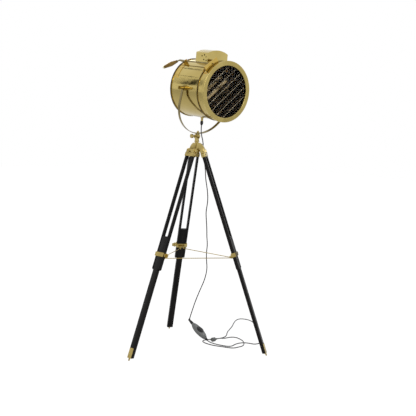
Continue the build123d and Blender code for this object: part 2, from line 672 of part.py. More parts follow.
def rear_cover():
    """The domed back with its rolled rim over the end of the drum."""
    rim_front = DRUM_BACK + COVER_RIM_LENGTH - COVER_RIM_BACK
    rim_back = DRUM_BACK - COVER_RIM_BACK
    outer_dome = DRUM_BACK - COVER_DOME - COVER_THICKNESS
    inner_dome = DRUM_BACK - COVER_DOME
    reach = DRUM_RADIUS - DRUM_WALL
    middle = reach / 2
    sag = cap_sag(reach, COVER_DOME, middle)
    edges = [
        Line((0, 0, inner_dome), (0, 0, outer_dome)),
        ThreePointArc((0, 0, outer_dome), (middle, 0, outer_dome + sag),
                      (reach, 0, DRUM_BACK - COVER_THICKNESS)),
        Line((reach, 0, DRUM_BACK - COVER_THICKNESS), (DRUM_RADIUS, 0, rim_back)),
        Line((DRUM_RADIUS, 0, rim_back), (COVER_RIM_RADIUS, 0, rim_back)),
        Line((COVER_RIM_RADIUS, 0, rim_back), (COVER_RIM_RADIUS, 0, rim_front)),
        Line((COVER_RIM_RADIUS, 0, rim_front), (DRUM_RADIUS, 0, rim_front)),
        Line((DRUM_RADIUS, 0, rim_front), (DRUM_RADIUS, 0, DRUM_BACK)),
        Line((DRUM_RADIUS, 0, DRUM_BACK), (reach, 0, DRUM_BACK)),
        ThreePointArc((reach, 0, DRUM_BACK), (middle, 0, inner_dome + sag), (0, 0, inner_dome)),
    ]
    cover = revolve(make_face(edges), Axis.Z)
    rim = cover.edges().filter_by(GeomType.CIRCLE).filter_by(lambda edge: edge.radius > DRUM_RADIUS + DRUM_WALL)
    return HEAD * fillet(rim, (COVER_RIM_RADIUS - DRUM_RADIUS) / 3)


def slat_places():
    """The height of each slat's pivot line above the middle of the shutter."""
    middle = (SLAT_COUNT - 1) / 2
    return [(index - middle) * SLAT_PITCH - SLAT_DROP for index in range(SLAT_COUNT)]


def front_collar():
    """The ring in front of the drum that carries the slats and holds the glass on its lip."""
    inner = DRUM_RADIUS - DRUM_WALL
    bead_front = DRUM_FRONT + COLLAR_BEAD_LENGTH
    lip = COLLAR_FRONT - GLASS_LIP_THICKNESS
    ring = turned((
        (inner, DRUM_FRONT), (COLLAR_BEAD_RADIUS, DRUM_FRONT), (COLLAR_BEAD_RADIUS, bead_front),
        (COLLAR_OUTER, bead_front), (COLLAR_OUTER, COLLAR_FRONT), (GLASS_LIP_INNER, COLLAR_FRONT),
        (GLASS_LIP_INNER, lip), (inner, lip),
    ))
    for place in slat_places():
        hole = bar("X", SLAT_PIN_RADIUS + PIN_PLAY, -COLLAR_OUTER, COLLAR_OUTER)
        ring -= Rot(0, 0, SLAT_ANGLE) * Pos(0, place, SLAT_CENTRE) * hole
    return HEAD * ring


def front_bezel():
    """The wide front ring that traps the glass."""
    flange_back = COLLAR_FRONT + GLASS_THICKNESS
    front = flange_back + BEZEL_FLANGE
    ring = turned((
        (COLLAR_OUTER, BEZEL_BACK), (BEZEL_RADIUS, BEZEL_BACK), (BEZEL_RADIUS, front),
        (BEZEL_OPENING, front), (BEZEL_OPENING, flange_back), (COLLAR_OUTER, flange_back),
    ))
    rims = ring.edges().filter_by(GeomType.CIRCLE).group_by(Axis.Z)[-1]
    return HEAD * fillet(rims, BEZEL_ROUNDING)


def front_glass():
    """The flat front glass."""
    return HEAD * bar("Z", GLASS_RADIUS, COLLAR_FRONT, COLLAR_FRONT + GLASS_THICKNESS)


def shutter_slat(place):
    """One slat in its open place, cut so that it clears the ring when it closes."""
    reach = math.sqrt(SLAT_REACH ** 2 - place ** 2)
    half_width = SLAT_WIDTH / 2
    half_thickness = SLAT_THICKNESS / 2
    closed = block((-reach, reach), (-half_width, half_width), (-half_thickness, half_thickness))
    closed &= Pos(0, -place, 0) * bar("Z", SLAT_REACH, -SLAT_THICKNESS, SLAT_THICKNESS)
    wall = math.sqrt((DRUM_RADIUS - DRUM_WALL) ** 2 - place ** 2) + DRUM_WALL
    slat = Rot(90, 0, 0) * closed + bar("X", SLAT_PIN_RADIUS, -wall, wall)
    return SHUTTER * Pos(0, place, SLAT_CENTRE) * slat


def shutter_rod():
    """The rod along the side of the drum that works the shutter."""
    return SIDE * Pos(0, ROD_OFFSET, 0) * bar("Z", SHUTTER_ROD_RADIUS, SHUTTER_ROD_BACK, SHUTTER_ROD_FRONT)


def rod_bore(back, front):
    """The running hole of the shutter rod."""
    return Pos(0, ROD_OFFSET, 0) * bar("Z", SHUTTER_ROD_RADIUS + PIN_PLAY, back, front)


def rod_lug():
    """The front plate of the rod, its foot on the collar and the braces behind it."""
    front = LUG_PLATE_BACK + LUG_PLATE_THICKNESS
    plate = block((-LUG_PLATE_LEFT, LUG_PLATE_RIGHT), (0, LUG_PLATE_TOP), (LUG_PLATE_BACK, front))
    sole = tube(COLLAR_OUTER + LUG_FOOT_THICKNESS, COLLAR_OUTER, LUG_FOOT_BACK, front)
    sole &= block((-LUG_PLATE_LEFT, LUG_PLATE_RIGHT), (0, LUG_PLATE_TOP), (LUG_FOOT_BACK, front))
    brace_foot = math.sqrt(COLLAR_OUTER ** 2 - LUG_PLATE_LEFT ** 2)
    back = front - LUG_BRACE_RUN
    brace = polygon(
        ((0, LUG_PLATE_TOP, front), (0, LUG_PLATE_TOP - LUG_BRACE_WIDTH, front),
         (0, brace_foot, back), (0, brace_foot + LUG_BRACE_WIDTH, back)),
        (1, 0, 0), LUG_BRACE_THICKNESS)
    for place in (-LUG_PLATE_LEFT, LUG_PLATE_RIGHT):
        inward = math.copysign(LUG_BRACE_THICKNESS / 2, place)
        plate += Pos(place - inward, 0, 0) * brace
    drum = bar("Z", COLLAR_OUTER, 0, front + OVERRUN)
    bead = bar("Z", COLLAR_BEAD_RADIUS, 0, DRUM_FRONT + COLLAR_BEAD_LENGTH)
    plate = (plate + sole) - drum - bead - rod_bore(0, front + OVERRUN)
    return SIDE * plate


def strap_foot():
    """The curved strap on the drum under the lever bracket."""
    outer = DRUM_RADIUS + STRAP_FOOT_THICKNESS
    ring = tube(outer, DRUM_RADIUS, BRACKET_BACK, BRACKET_FRONT)
    reach = outer + OVERRUN
    start = math.degrees(math.asin(GUIDE_HALF_WIDTH / outer))
    corners = [(0, 0, 0)]
    for turn_share in (-1, 0, 1):
        angle = math.radians(90 - start + (turn_share + 1) * (STRAP_FOOT_SWEEP + start) / 2)
        corners.append((reach * math.cos(angle), reach * math.sin(angle), 0))
    wedge = extrude(make_face(Polyline(*corners, close=True)), abs(DRUM_BACK), dir=(0, 0, -1))
    return ring & wedge


def lever_bracket():
    """The rear bracket: a guide for the rod and two cheeks for the pin of the lever."""
    guide_front = GUIDE_BACK + GUIDE_THICKNESS
    top = ROD_OFFSET + SHUTTER_ROD_RADIUS + GUIDE_THICKNESS
    middle = (-GUIDE_HALF_WIDTH, GUIDE_HALF_WIDTH)
    base = DRUM_RADIUS - DRUM_WALL
    bracket = block(middle, (base, top), (GUIDE_BACK, guide_front))
    inner = LEVER_THICKNESS / 2 + CLEARANCE
    outer = inner + BRACKET_CHEEK_THICKNESS
    pivot = Pos(0, LEVER_PIVOT_OFFSET, LEVER_PIVOT_PLACE)
    depth = (LEVER_PIVOT_PLACE - LEVER_HUB_RADIUS, LEVER_PIVOT_PLACE + LEVER_HUB_RADIUS)
    for low, high in ((inner, outer), (-outer, -inner)):
        bracket += block((low, high), (base, LEVER_PIVOT_OFFSET), depth)
        bracket += pivot * bar("X", LEVER_HUB_RADIUS, low, high)
    bracket += pivot * bar("X", LEVER_PIN_RADIUS, -outer, outer)
    bracket -= bar("Z", DRUM_RADIUS, DRUM_BACK, 0)
    bracket += strap_foot()
    return SIDE * (bracket - rod_bore(GUIDE_BACK - OVERRUN, guide_front + OVERRUN))


def between(start, end):
    """A frame at one point with Z towards another."""
    return Plane(origin=start, z_dir=Vector(*end) - Vector(*start)).location


def shutter_lever():
    """The bell crank at the bracket, its bent shank and its grip."""
    half = LEVER_THICKNESS / 2
    pivot = Pos(0, LEVER_PIVOT_OFFSET, LEVER_PIVOT_PLACE)
    arm_half = LEVER_ARM_DEPTH / 2
    lever = bar("X", LEVER_HUB_RADIUS, -half, half)
    lever += block((-half, half), (0, LEVER_ARM_HEIGHT), (-arm_half, arm_half))
    bend_up = LEVER_BEND[1] - LEVER_PIVOT_OFFSET
    bend_back = LEVER_BEND[2] - LEVER_PIVOT_PLACE
    lever += polygon(
        ((0, 0, -arm_half), (0, LEVER_ARM_HEIGHT, -arm_half), (0, bend_up + half, bend_back),
         (0, bend_up - half, bend_back)), (1, 0, 0), LEVER_THICKNESS)
    lever -= bar("X", LEVER_PIN_RADIUS + PIN_PLAY, -half - OVERRUN, half + OVERRUN)
    lever = pivot * lever
    length = (Vector(*LEVER_END) - Vector(*LEVER_BEND)).length
    grip_start = GRIP_START_SHARE * length
    shank = Sphere(LEVER_SHANK_RADIUS) + bar("Z", LEVER_SHANK_RADIUS, 0, length)
    grip_end = length - GRIP_END_RADIUS
    middle = (grip_start + grip_end) / 2
    grip = turned((
        (0, grip_start), (GRIP_START_RADIUS, grip_start), (GRIP_MIDDLE_RADIUS, middle),
        (GRIP_END_RADIUS, grip_end), (0, grip_end),
    ))
    grip += Pos(0, 0, grip_end) * Sphere(GRIP_END_RADIUS)
    return SIDE * (lever + between(LEVER_BEND, LEVER_END) * (shank + grip))


def reflector():
    """The bowl behind the bulb, held by its rim in the drum."""
    rim = DRUM_RADIUS - DRUM_WALL
    thick = REFLECTOR_THICKNESS
    front = REFLECTOR_RIM_PLACE
    bowl_rim = rim - 2 * thick
    edges = [
        Line((REFLECTOR_HOLE, 0, REFLECTOR_BACK - thick), (REFLECTOR_HOLE, 0, REFLECTOR_BACK)),
        ThreePointArc((REFLECTOR_HOLE, 0, REFLECTOR_BACK),
                      (REFLECTOR_MIDDLE_RADIUS, 0, REFLECTOR_MIDDLE_PLACE), (bowl_rim, 0, front)),
        Line((bowl_rim, 0, front), (rim, 0, front)),
        Line((rim, 0, front), (rim, 0, front - thick)),
        Line((rim, 0, front - thick), (bowl_rim + thick, 0, front - thick)),
        ThreePointArc((bowl_rim + thick, 0, front - thick),
                      (REFLECTOR_MIDDLE_RADIUS, 0, REFLECTOR_MIDDLE_PLACE - 2 * thick),
                      (REFLECTOR_HOLE, 0, REFLECTOR_BACK - thick)),
    ]
    return HEAD * revolve(make_face(edges), Axis.Z)


def lamp_socket():
    """The bulb socket on a strap across the lower half of the drum."""
    half = SOCKET_STRAP_WIDTH / 2
    strap = block((-half, half), (-DRUM_RADIUS, 0), (SOCKET_BACK, SOCKET_BACK + SOCKET_STRAP_THICKNESS))
    strap &= bar("Z", DRUM_RADIUS - DRUM_WALL, DRUM_BACK, DRUM_FRONT)
    return HEAD * (strap + bar("Z", SOCKET_RADIUS, SOCKET_BACK, SOCKET_FRONT))


def bulb():
    """The bulb, its neck through the hole of the reflector."""
    globe = Pos(0, 0, BULB_CENTRE) * Sphere(BULB_RADIUS)
    return HEAD * (globe + bar("Z", BULB_NECK_RADIUS, SOCKET_FRONT, BULB_CENTRE))


def hood_body(inset):
    """The arched block of the hood, drawn in on all sides by an inset."""
    half = HOOD_HALF_WIDTH - inset
    shoulder = HOOD_SHOULDER - inset
    edges = [
        Line((-half, 0, 0), (half, 0, 0)),
        Line((half, 0, 0), (half, shoulder, 0)),
        ThreePointArc((half, shoulder, 0), (0, HOOD_TOP - inset, 0), (-half, shoulder, 0)),
        Line((-half, shoulder, 0), (-half, 0, 0)),
    ]
    length = HOOD_FRONT - HOOD_BACK - 2 * inset
    return Pos(0, 0, HOOD_BACK + inset) * extrude(make_face(edges), length, dir=(0, 0, 1))


def vent_hood():
    """The hollow hood on the drum, with its vent holes near the front of both sides."""
    hood = hood_body(0) - hood_body(HOOD_WALL)
    hood -= bar("Z", DRUM_RADIUS, HOOD_BACK - OVERRUN, HOOD_FRONT + OVERRUN)
    reach = HOOD_HALF_WIDTH + OVERRUN
    for drop, place in VENT_PLACES:
        hood -= Pos(0, HOOD_SHOULDER - drop, place) * bar("X", VENT_RADIUS, -reach, reach)
    return HEAD * hood


def trunnion(side):
    """One boss on the drum with the stud that turns in the yoke."""
    shoulder = YOKE_RADIUS - STRAP_THICKNESS - CLEARANCE
    boss = bar("X", TRUNNION_RADIUS, 0, side * shoulder)
    boss -= bar("Z", DRUM_RADIUS, DRUM_BACK, DRUM_FRONT)
    end = YOKE_RADIUS + TRUNNION_STUD_LENGTH
    return HEAD * (boss + bar("X", TRUNNION_STUD_RADIUS, side * shoulder, side * end))


def trunnion_knob(side):
    """The wing knob that clamps the tilt of the head."""
    start = YOKE_RADIUS + CLEARANCE
    washer_end = start + WING_WASHER_THICKNESS
    hub_end = washer_end + WING_HUB_LENGTH
    end = start + WING_LENGTH
    half_height = WING_HEIGHT / 2
    half_thickness = WING_THICKNESS / 2
    knob = bar("X", WING_WASHER_RADIUS, start, washer_end) + bar("X", WING_HUB_RADIUS, washer_end, hub_end)
    wing = block((washer_end, end), (-half_height, half_height), (-half_thickness, half_thickness))
    corners = wing.edges().filter_by(Axis.Z)
    knob += fillet(corners, half_height / 2)
    bore_end = YOKE_RADIUS + TRUNNION_STUD_LENGTH + CLEARANCE
    knob -= bar("X", TRUNNION_STUD_RADIUS + PIN_PLAY, start - OVERRUN, bore_end)
    turn = Rot(0, 0, 0) if side > 0 else Rot(0, 180, 0)
    return HEAD * turn * knob


def cable_gland():
    """The brass gland under the drum."""
    seat = DRUM_RADIUS
    gland = bar("Y", GLAND_FLANGE_RADIUS, -seat - GLAND_FLANGE_THICKNESS, DRUM_WALL - seat)
    gland += bar("Y", GLAND_RADIUS, -seat - GLAND_LENGTH, DRUM_WALL - seat)
    gland = Pos(0, 0, GLAND_PLACE) * gland
    return HEAD * (gland - bar("Z", DRUM_RADIUS, DRUM_BACK, DRUM_FRONT))


def strain_relief():
    """The black tapered sleeve where the cord leaves the gland."""
    start = DRUM_RADIUS + GLAND_LENGTH
    cone = Pos(0, 0, start + RELIEF_LENGTH / 2) * Cone(RELIEF_START_RADIUS, RELIEF_END_RADIUS, RELIEF_LENGTH)
    return HEAD * Pos(0, 0, GLAND_PLACE) * Rot(90, 0, 0) * cone


def corner_radii(points):
    """The largest arc that each corner of a route allows."""
    radii = []
    for before, corner, after in zip(points, points[1:], points[2:]):
        first = Vector(*corner) - Vector(*before)
        second = Vector(*after) - Vector(*corner)
        half_turn = math.radians(first.get_angle(second) / 2)
        radii.append(CORNER_SHARE * min(first.length, second.length) / math.tan(half_turn))
    return radii


def cord(name, points):
    """A stretch of round cord along a route of straight runs and arcs."""
    radii = corner_radii(points)
    path = FilletPolyline(*points, radius=radii)
    section = Plane(origin=path @ 0, z_dir=path % 0) * Circle(CORD_RADIUS)
    solid = sweep(section, path=path)
    expected = math.pi * CORD_RADIUS ** 2 * path.length
    print(name, "length", round(path.length), "least radius", round(min(radii), 1),
          "volume against section times length", round(solid.volume / expected, 4))
    return solid


def gland_exit():
    """The end of the strain relief and a point straight ahead of it."""
    reach = -(DRUM_RADIUS + GLAND_LENGTH + RELIEF_LENGTH)
    start = (HEAD * Pos(0, reach, GLAND_PLACE)).position
    lead = (HEAD * Pos(0, reach - CORD_LEAD, GLAND_PLACE)).position
    return tuple(start), tuple(lead)


def beyond(start, through, distance):
    """The point at a distance past the second of two points, on their line."""
    direction = (Vector(*through) - Vector(*start)).normalized()
    return tuple(Vector(*through) + direction * distance)


def switch_knee():
    """The place where the upper boot of the foot switch bends into the body."""
    return beyond(FALL_POINTS[-1], SWITCH_TOP, SWITCH_BOOT_LENGTH)


def switch_frame():
    """The frame of the foot switch, with Z from its knee to its lower cord end."""
    direction = Vector(*SWITCH_BOTTOM) - Vector(*switch_knee())
    side = direction.cross(Vector(0, 0, 1))
    return Plane(origin=switch_knee(), x_dir=side, z_dir=direction).location


def switch_length():
    """The distance from the knee of the foot switch to its lower cord end."""
    return (Vector(*SWITCH_BOTTOM) - Vector(*switch_knee())).length


def switch_middle():
    """The place of the middle of the body, measured from the knee."""
    return (SWITCH_NECK_LENGTH + switch_length() - SWITCH_END_LENGTH) / 2


def button_frame():
    """The frame of the foot button, with Z out of the body."""
    return switch_frame() * Pos(0, 0, switch_middle()) * Rot(90, 0, 0)


def foot_switch():
    """The spindle body of the foot switch, flat above and below, with its boots."""
    length = switch_length()
    half_width = SWITCH_WIDTH / 2
    half_depth = SWITCH_DEPTH / 2
    first_tip = SWITCH_NECK_LENGTH - SWITCH_TIP_COVER
    last_tip = length - SWITCH_END_LENGTH + SWITCH_TIP_COVER
    side_arc = ThreePointArc((0, first_tip), (half_width, switch_middle()), (0, last_tip))
    outline = Plane.XZ * make_face(side_arc + Line((0, last_tip), (0, first_tip)))
    body = revolve(outline, Axis.Z)
    body &= block((-half_width, half_width), (-half_depth, half_depth), (0, length + OVERRUN))
    neck = Cone(SWITCH_KNEE_RADIUS, SWITCH_NECK_RADIUS, SWITCH_NECK_LENGTH)
    tail = Cone(SWITCH_TAIL_RADIUS, SWITCH_END_RADIUS, SWITCH_END_LENGTH)
    body += Pos(0, 0, SWITCH_NECK_LENGTH / 2) * neck
    body += Pos(0, 0, length - SWITCH_END_LENGTH / 2) * tail
    body = switch_frame() * (body + Sphere(SWITCH_KNEE_RADIUS))
    boot = Cone(SWITCH_END_RADIUS, SWITCH_KNEE_RADIUS, SWITCH_BOOT_LENGTH)
    body += between(SWITCH_TOP, switch_knee()) * Pos(0, 0, SWITCH_BOOT_LENGTH / 2) * boot
    floor = half_depth - BUTTON_SINK
    return body - button_frame() * bar("Z", BUTTON_RADIUS + CLEARANCE, floor, half_depth + OVERRUN)


def switch_button():
    """The round foot button with its raised middle, which sinks into the body."""
    face = SWITCH_DEPTH / 2
    floor = face - BUTTON_SINK
    rise = face + BUTTON_RISE
    button = bar("Z", BUTTON_RADIUS, floor + BUTTON_TRAVEL + CLEARANCE, rise)
    button += bar("Z", BUTTON_STEP_RADIUS, rise, rise + BUTTON_STEP_RISE)
    return button_frame() * button


def plug():
    """The plug with its sleeve and two flat blades."""
    start = PLUG_SLEEVE_LENGTH
    face = start + PLUG_BODY_LENGTH
    direction = Vector(*PLUG_FRONT) - Vector(*PLUG_BACK)
    sleeve = Pos(0, 0, start / 2) * Cone(RELIEF_END_RADIUS, PLUG_RADIUS / 2, start)
    body = sleeve + bar("Z", PLUG_RADIUS, start, face)
    half_width = PLUG_BLADE_WIDTH / 2
    half_thickness = PLUG_BLADE_THICKNESS / 2
    for side in (1, -1):
        place = side * PLUG_BLADE_SPACING / 2
        sides = (place - half_thickness, place + half_thickness)
        body += block(sides, (-half_width, half_width), (face, direction.length))
    return between(PLUG_BACK, PLUG_FRONT) * body


def build_pieces():
    """Every piece of the lamp under its name."""
    exit_point, lead_point = gland_exit()
    drop_route = (exit_point, lead_point) + DROP_POINTS
    fall_route = (CORD_JOINT,) + FALL_POINTS + (SWITCH_TOP,)
    loop_start = (SWITCH_BOTTOM, beyond(SWITCH_TOP, SWITCH_BOTTOM, SWITCH_LEAD))
    loop_end = (beyond(PLUG_FRONT, PLUG_BACK, PLUG_LEAD), PLUG_BACK)
    loop_route = loop_start + LOOP_POINTS + loop_end
    pieces = {
        "hub_casting": hub_casting(),
        "hinge_bolts": hinge_bolts(),
        "swivel_post": swivel_post(),
        "swivel_nut": swivel_nut(),
        "knuckle_bolt": knuckle_bolt(),
        "knuckle_knob": knuckle_knob(),
        "knuckle_eye": knuckle_eye(),
        "yoke_strap": yoke_strap(),
        "yoke_nut": yoke_nut(),
        "drum_shell": drum_shell(),
        "rear_cover": rear_cover(),
        "front_collar": front_collar(),
        "front_bezel": front_bezel(),
        "front_glass": front_glass(),
        "shutter_rod": shutter_rod(),
        "rod_lug": rod_lug(),
        "lever_bracket": lever_bracket(),
        "shutter_lever": shutter_lever(),
        "reflector": reflector(),
        "lamp_socket": lamp_socket(),
        "bulb": bulb(),
        "vent_hood": vent_hood(),
        "trunnions": Compound([trunnion(1), trunnion(-1)]),
        "trunnion_knob_left": trunnion_knob(-1),
        "trunnion_knob_right": trunnion_knob(1),
        "cable_gland": cable_gland(),
        "strain_relief": strain_relief(),
        "cord_drop": cord("cord_drop", drop_route),
        "cord_fall": cord("cord_fall", fall_route),
        "foot_switch": foot_switch(),
        "switch_button": switch_button(),
        "cord_loops": cord("cord_loops", loop_route),
        "plug": plug(),
    }
    for number, place in enumerate(slat_places(), start=1):
        pieces[f"shutter_slat_{number}"] = shutter_slat(place)
    leg_parts = {
        "cap": leg_cap(),
        "rails": leg_rails(),
        "lower": lower_leg(),
        "collar": leg_collar(),
        "collar_screw": collar_screw(),
        "shoe": foot_shoe(),
        "stretcher": stretcher_rod(),
    }
    for number, azimuth in enumerate(LEG_AZIMUTHS, start=1):
        for part_name, solid in leg_parts.items():
            pieces[f"leg_{number}_{part_name}"] = Rot(0, 0, azimuth) * solid
    return pieces


CORD_PIECES = ("cord_drop", "cord_fall", "cord_loops", "foot_switch", "switch_button", "plug")


def base_shift(pieces):
    """The move that puts the box of the lamp without its cord centred on the Z axis, standing on zero."""
    boxes = [solid.bounding_box() for name, solid in pieces.items() if name not in CORD_PIECES]
    middle_x = (min(box.min.X for box in boxes) + max(box.max.X for box in boxes)) / 2
    middle_y = (min(box.min.Y for box in boxes) + max(box.max.Y for box in boxes)) / 2
    bottom = min(box.min.Z for box in boxes)
    return Vector(-middle_x, -middle_y, -bottom)


def main():
    os.makedirs("parts", exist_ok=True)
    pieces = build_pieces()
    shift = base_shift(pieces)
    print("hub axis lies at", round(shift.X, 3), round(shift.Y, 3), "and the floor was lifted by", round(shift.Z, 3))
    for name, solid in pieces.items():
        export_step(Pos(shift) * solid, f"parts/{name}.step")
    print(len(pieces), "pieces")


main()
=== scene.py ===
import json
import math

import bmesh
import bpy
from mathutils import Matrix, Vector


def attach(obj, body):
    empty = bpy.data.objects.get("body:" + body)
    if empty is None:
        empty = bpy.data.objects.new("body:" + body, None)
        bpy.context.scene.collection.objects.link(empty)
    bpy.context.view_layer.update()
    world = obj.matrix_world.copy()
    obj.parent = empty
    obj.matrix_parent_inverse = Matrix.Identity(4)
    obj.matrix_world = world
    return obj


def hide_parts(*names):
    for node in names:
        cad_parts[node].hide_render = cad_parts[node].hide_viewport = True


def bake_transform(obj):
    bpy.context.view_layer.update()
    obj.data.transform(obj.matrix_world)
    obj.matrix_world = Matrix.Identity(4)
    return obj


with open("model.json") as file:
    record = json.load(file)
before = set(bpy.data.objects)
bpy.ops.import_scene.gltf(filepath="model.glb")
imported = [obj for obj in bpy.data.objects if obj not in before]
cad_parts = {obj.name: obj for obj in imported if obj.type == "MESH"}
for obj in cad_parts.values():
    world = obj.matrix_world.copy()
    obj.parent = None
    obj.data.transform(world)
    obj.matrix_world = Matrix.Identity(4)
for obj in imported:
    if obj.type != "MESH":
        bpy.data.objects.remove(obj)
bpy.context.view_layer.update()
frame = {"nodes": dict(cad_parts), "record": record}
nodes = frame["nodes"]
bodies = frame["record"]["behaviour"]["bodies"]
body_of_node = {node: body for body, members in bodies.items() for node in members}
lamp_axis = Vector((0.092983, -0.022226, 0.0))


# Hub casting and its three hinge bolts.
# A cast brass block with three arms for the legs and a bell under it, machined,
# polished to a satin gold and lacquered. The bolts are turned brass.

def new_group(name, inputs, outputs):
    """A shader group with its named sockets, and its input and output nodes."""
    group = bpy.data.node_groups.new(name, "ShaderNodeTree")
    for socket_name, kind, value in inputs:
        socket = group.interface.new_socket(socket_name, in_out="INPUT", socket_type="NodeSocket" + kind)
        if value is not None:
            socket.default_value = value
    for socket_name, kind in outputs:
        group.interface.new_socket(socket_name, in_out="OUTPUT", socket_type="NodeSocket" + kind)
    return group, group.nodes.new("NodeGroupInput"), group.nodes.new("NodeGroupOutput")


def mixed(tree, factor, first, second, kind="RGBA"):
    """The output of a Mix node between two sockets."""
    node = tree.nodes.new("ShaderNodeMix")
    node.data_type = kind
    low, high, out = (6, 7, 2) if kind == "RGBA" else (2, 3, 0)
    tree.links.new(factor, node.inputs[0])
    tree.links.new(first, node.inputs[low])
    tree.links.new(second, node.inputs[high])
    return node.outputs[out]


def noise(tree, vector, detail, scale_socket=None, scale=1.0, times=1.0):
    """The factor of a Noise Texture whose scale is a number or a socket times a number."""
    node = tree.nodes.new("ShaderNodeTexNoise")
    node.inputs["Detail"].default_value = detail
    tree.links.new(vector, node.inputs["Vector"])
    if scale_socket is None:
        node.inputs["Scale"].default_value = scale
    else:
        product = tree.nodes.new("ShaderNodeMath")
        product.operation = "MULTIPLY"
        product.inputs[1].default_value = times
        tree.links.new(scale_socket, product.inputs[0])
        tree.links.new(product.outputs[0], node.inputs["Scale"])
    return node.outputs["Fac"]


def spread(tree, value, low, high):
    """A value stretched so that low becomes 0 and high becomes 1."""
    node = tree.nodes.new("ShaderNodeMapRange")
    node.interpolation_type = "SMOOTHSTEP"
    node.inputs["From Min"].default_value = low
    node.inputs["From Max"].default_value = high
    tree.links.new(value, node.inputs["Value"])
    return node.outputs["Result"]


def lacquered_metal_group():
    """Cloudy tone, uneven gloss and fine buffing marks of lacquered metal."""
    group, start, end = new_group(
        "lacquered_metal",
        [("Vector", "Vector", None), ("Bright", "Color", (1, 1, 1, 1)),
         ("Dull", "Color", (0.5, 0.5, 0.5, 1)), ("Smooth", "Float", 0.2), ("Rough", "Float", 0.4),
         ("Scale", "Float", 9.0)],
        [("Colour", "Color"), ("Roughness", "Float"), ("Height", "Float")])
    place = start.outputs["Vector"]
    clouds = spread(group, noise(group, place, 4.0, start.outputs["Scale"]), 0.36, 0.66)
    handling = spread(group, noise(group, place, 5.0, start.outputs["Scale"], times=5.0), 0.42, 0.62)
    colour = mixed(group, clouds, start.outputs["Bright"], start.outputs["Dull"])
    gloss = mixed(group, handling, start.outputs["Smooth"], start.outputs["Rough"], "FLOAT")
    marks = noise(group, place, 3.0, start.outputs["Scale"], times=60.0)
    group.links.new(colour, end.inputs["Colour"])
    group.links.new(gloss, end.inputs["Roughness"])
    group.links.new(marks, end.inputs["Height"])
    return group


def finish_material(name, group, values, bump, metallic=0.0, turn=None, sockets=None):
    """A material whose colour, gloss and relief come from an effect group on Object coordinates."""
    material = bpy.data.materials.new(name)
    material.use_nodes = True
    tree = material.node_tree
    shader = tree.nodes["Principled BSDF"]
    place = tree.nodes.new("ShaderNodeTexCoord")
    mapping = tree.nodes.new("ShaderNodeMapping")
    if turn is not None:
        mapping.inputs["Rotation"].default_value = turn
    effect = tree.nodes.new("ShaderNodeGroup")
    effect.node_tree = group
    for socket_name, value in values.items():
        effect.inputs[socket_name].default_value = value
    relief = tree.nodes.new("ShaderNodeBump")
    relief.inputs["Strength"].default_value = bump[0]
    relief.inputs["Distance"].default_value = bump[1]
    tree.links.new(place.outputs["Object"], mapping.inputs["Vector"])
    tree.links.new(mapping.outputs["Vector"], effect.inputs["Vector"])
    tree.links.new(effect.outputs["Colour"], shader.inputs["Base Color"])
    tree.links.new(effect.outputs["Roughness"], shader.inputs["Roughness"])
    tree.links.new(effect.outputs["Height"], relief.inputs["Height"])
    tree.links.new(relief.outputs["Normal"], shader.inputs["Normal"])
    shader.inputs["Metallic"].default_value = metallic
    for socket_name, value in (sockets or {}).items():
        shader.inputs[socket_name].default_value = value
    return material


def dress(node, material):
    """A CAD node that keeps its shape gets a material."""
    mesh = nodes[node].data
    mesh.materials.clear()
    mesh.materials.append(material)
    for polygon in mesh.polygons:
        polygon.material_index = 0


MERGE_DISTANCE = 0.00002
FLAT_ANGLE = math.radians(0.6)
EASED_ANGLE = math.radians(40.0)


def eased(node, width, material):
    """A copy of a CAD node with its edges eased, which stands for the node."""
    mesh = nodes[node].data.copy()
    shape = bmesh.new()
    shape.from_mesh(mesh)
    bmesh.ops.remove_doubles(shape, verts=shape.verts, dist=MERGE_DISTANCE)
    bmesh.ops.dissolve_limit(shape, angle_limit=FLAT_ANGLE, verts=shape.verts, edges=shape.edges)
    for face in shape.faces:
        face.smooth = True
    shape.to_mesh(mesh)
    shape.free()
    mesh.materials.clear()
    mesh.materials.append(material)
    piece = bpy.data.objects.new(node + "_eased", mesh)
    bpy.context.scene.collection.objects.link(piece)
    ease = piece.modifiers.new("eased_edges", "BEVEL")
    ease.width = width
    ease.segments = 2
    ease.limit_method = "ANGLE"
    ease.angle_limit = EASED_ANGLE
    ease.harden_normals = True
    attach(piece, body_of_node[node])
    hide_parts(node)


lacquered_metal = lacquered_metal_group()


def lacquered(name, bright, dull, gloss, scale, bump, metallic=1.0, sockets=None):
    """A lacquered metal from its two tones, its lowest and highest roughness and its cloud scale."""
    values = {
        "Bright": (*bright, 1), "Dull": (*dull, 1), "Smooth": gloss[0], "Rough": gloss[1], "Scale": scale}
    return finish_material(name, lacquered_metal, values, bump, metallic, sockets=sockets)


satin_gold = lacquered(
    "satin_gold", (0.46, 0.36, 0.13), (0.33, 0.245, 0.08), (0.14, 0.24), 9.0, (0.05, 0.0004))
dress("hub_casting", satin_gold)
dress("hinge_bolts", satin_gold)


# The three legs.
# Each has two wooden rails in a cast brass cap, with a third wooden leg that slides
# between them through a brass collar. The wood is lacquered black over open grain.

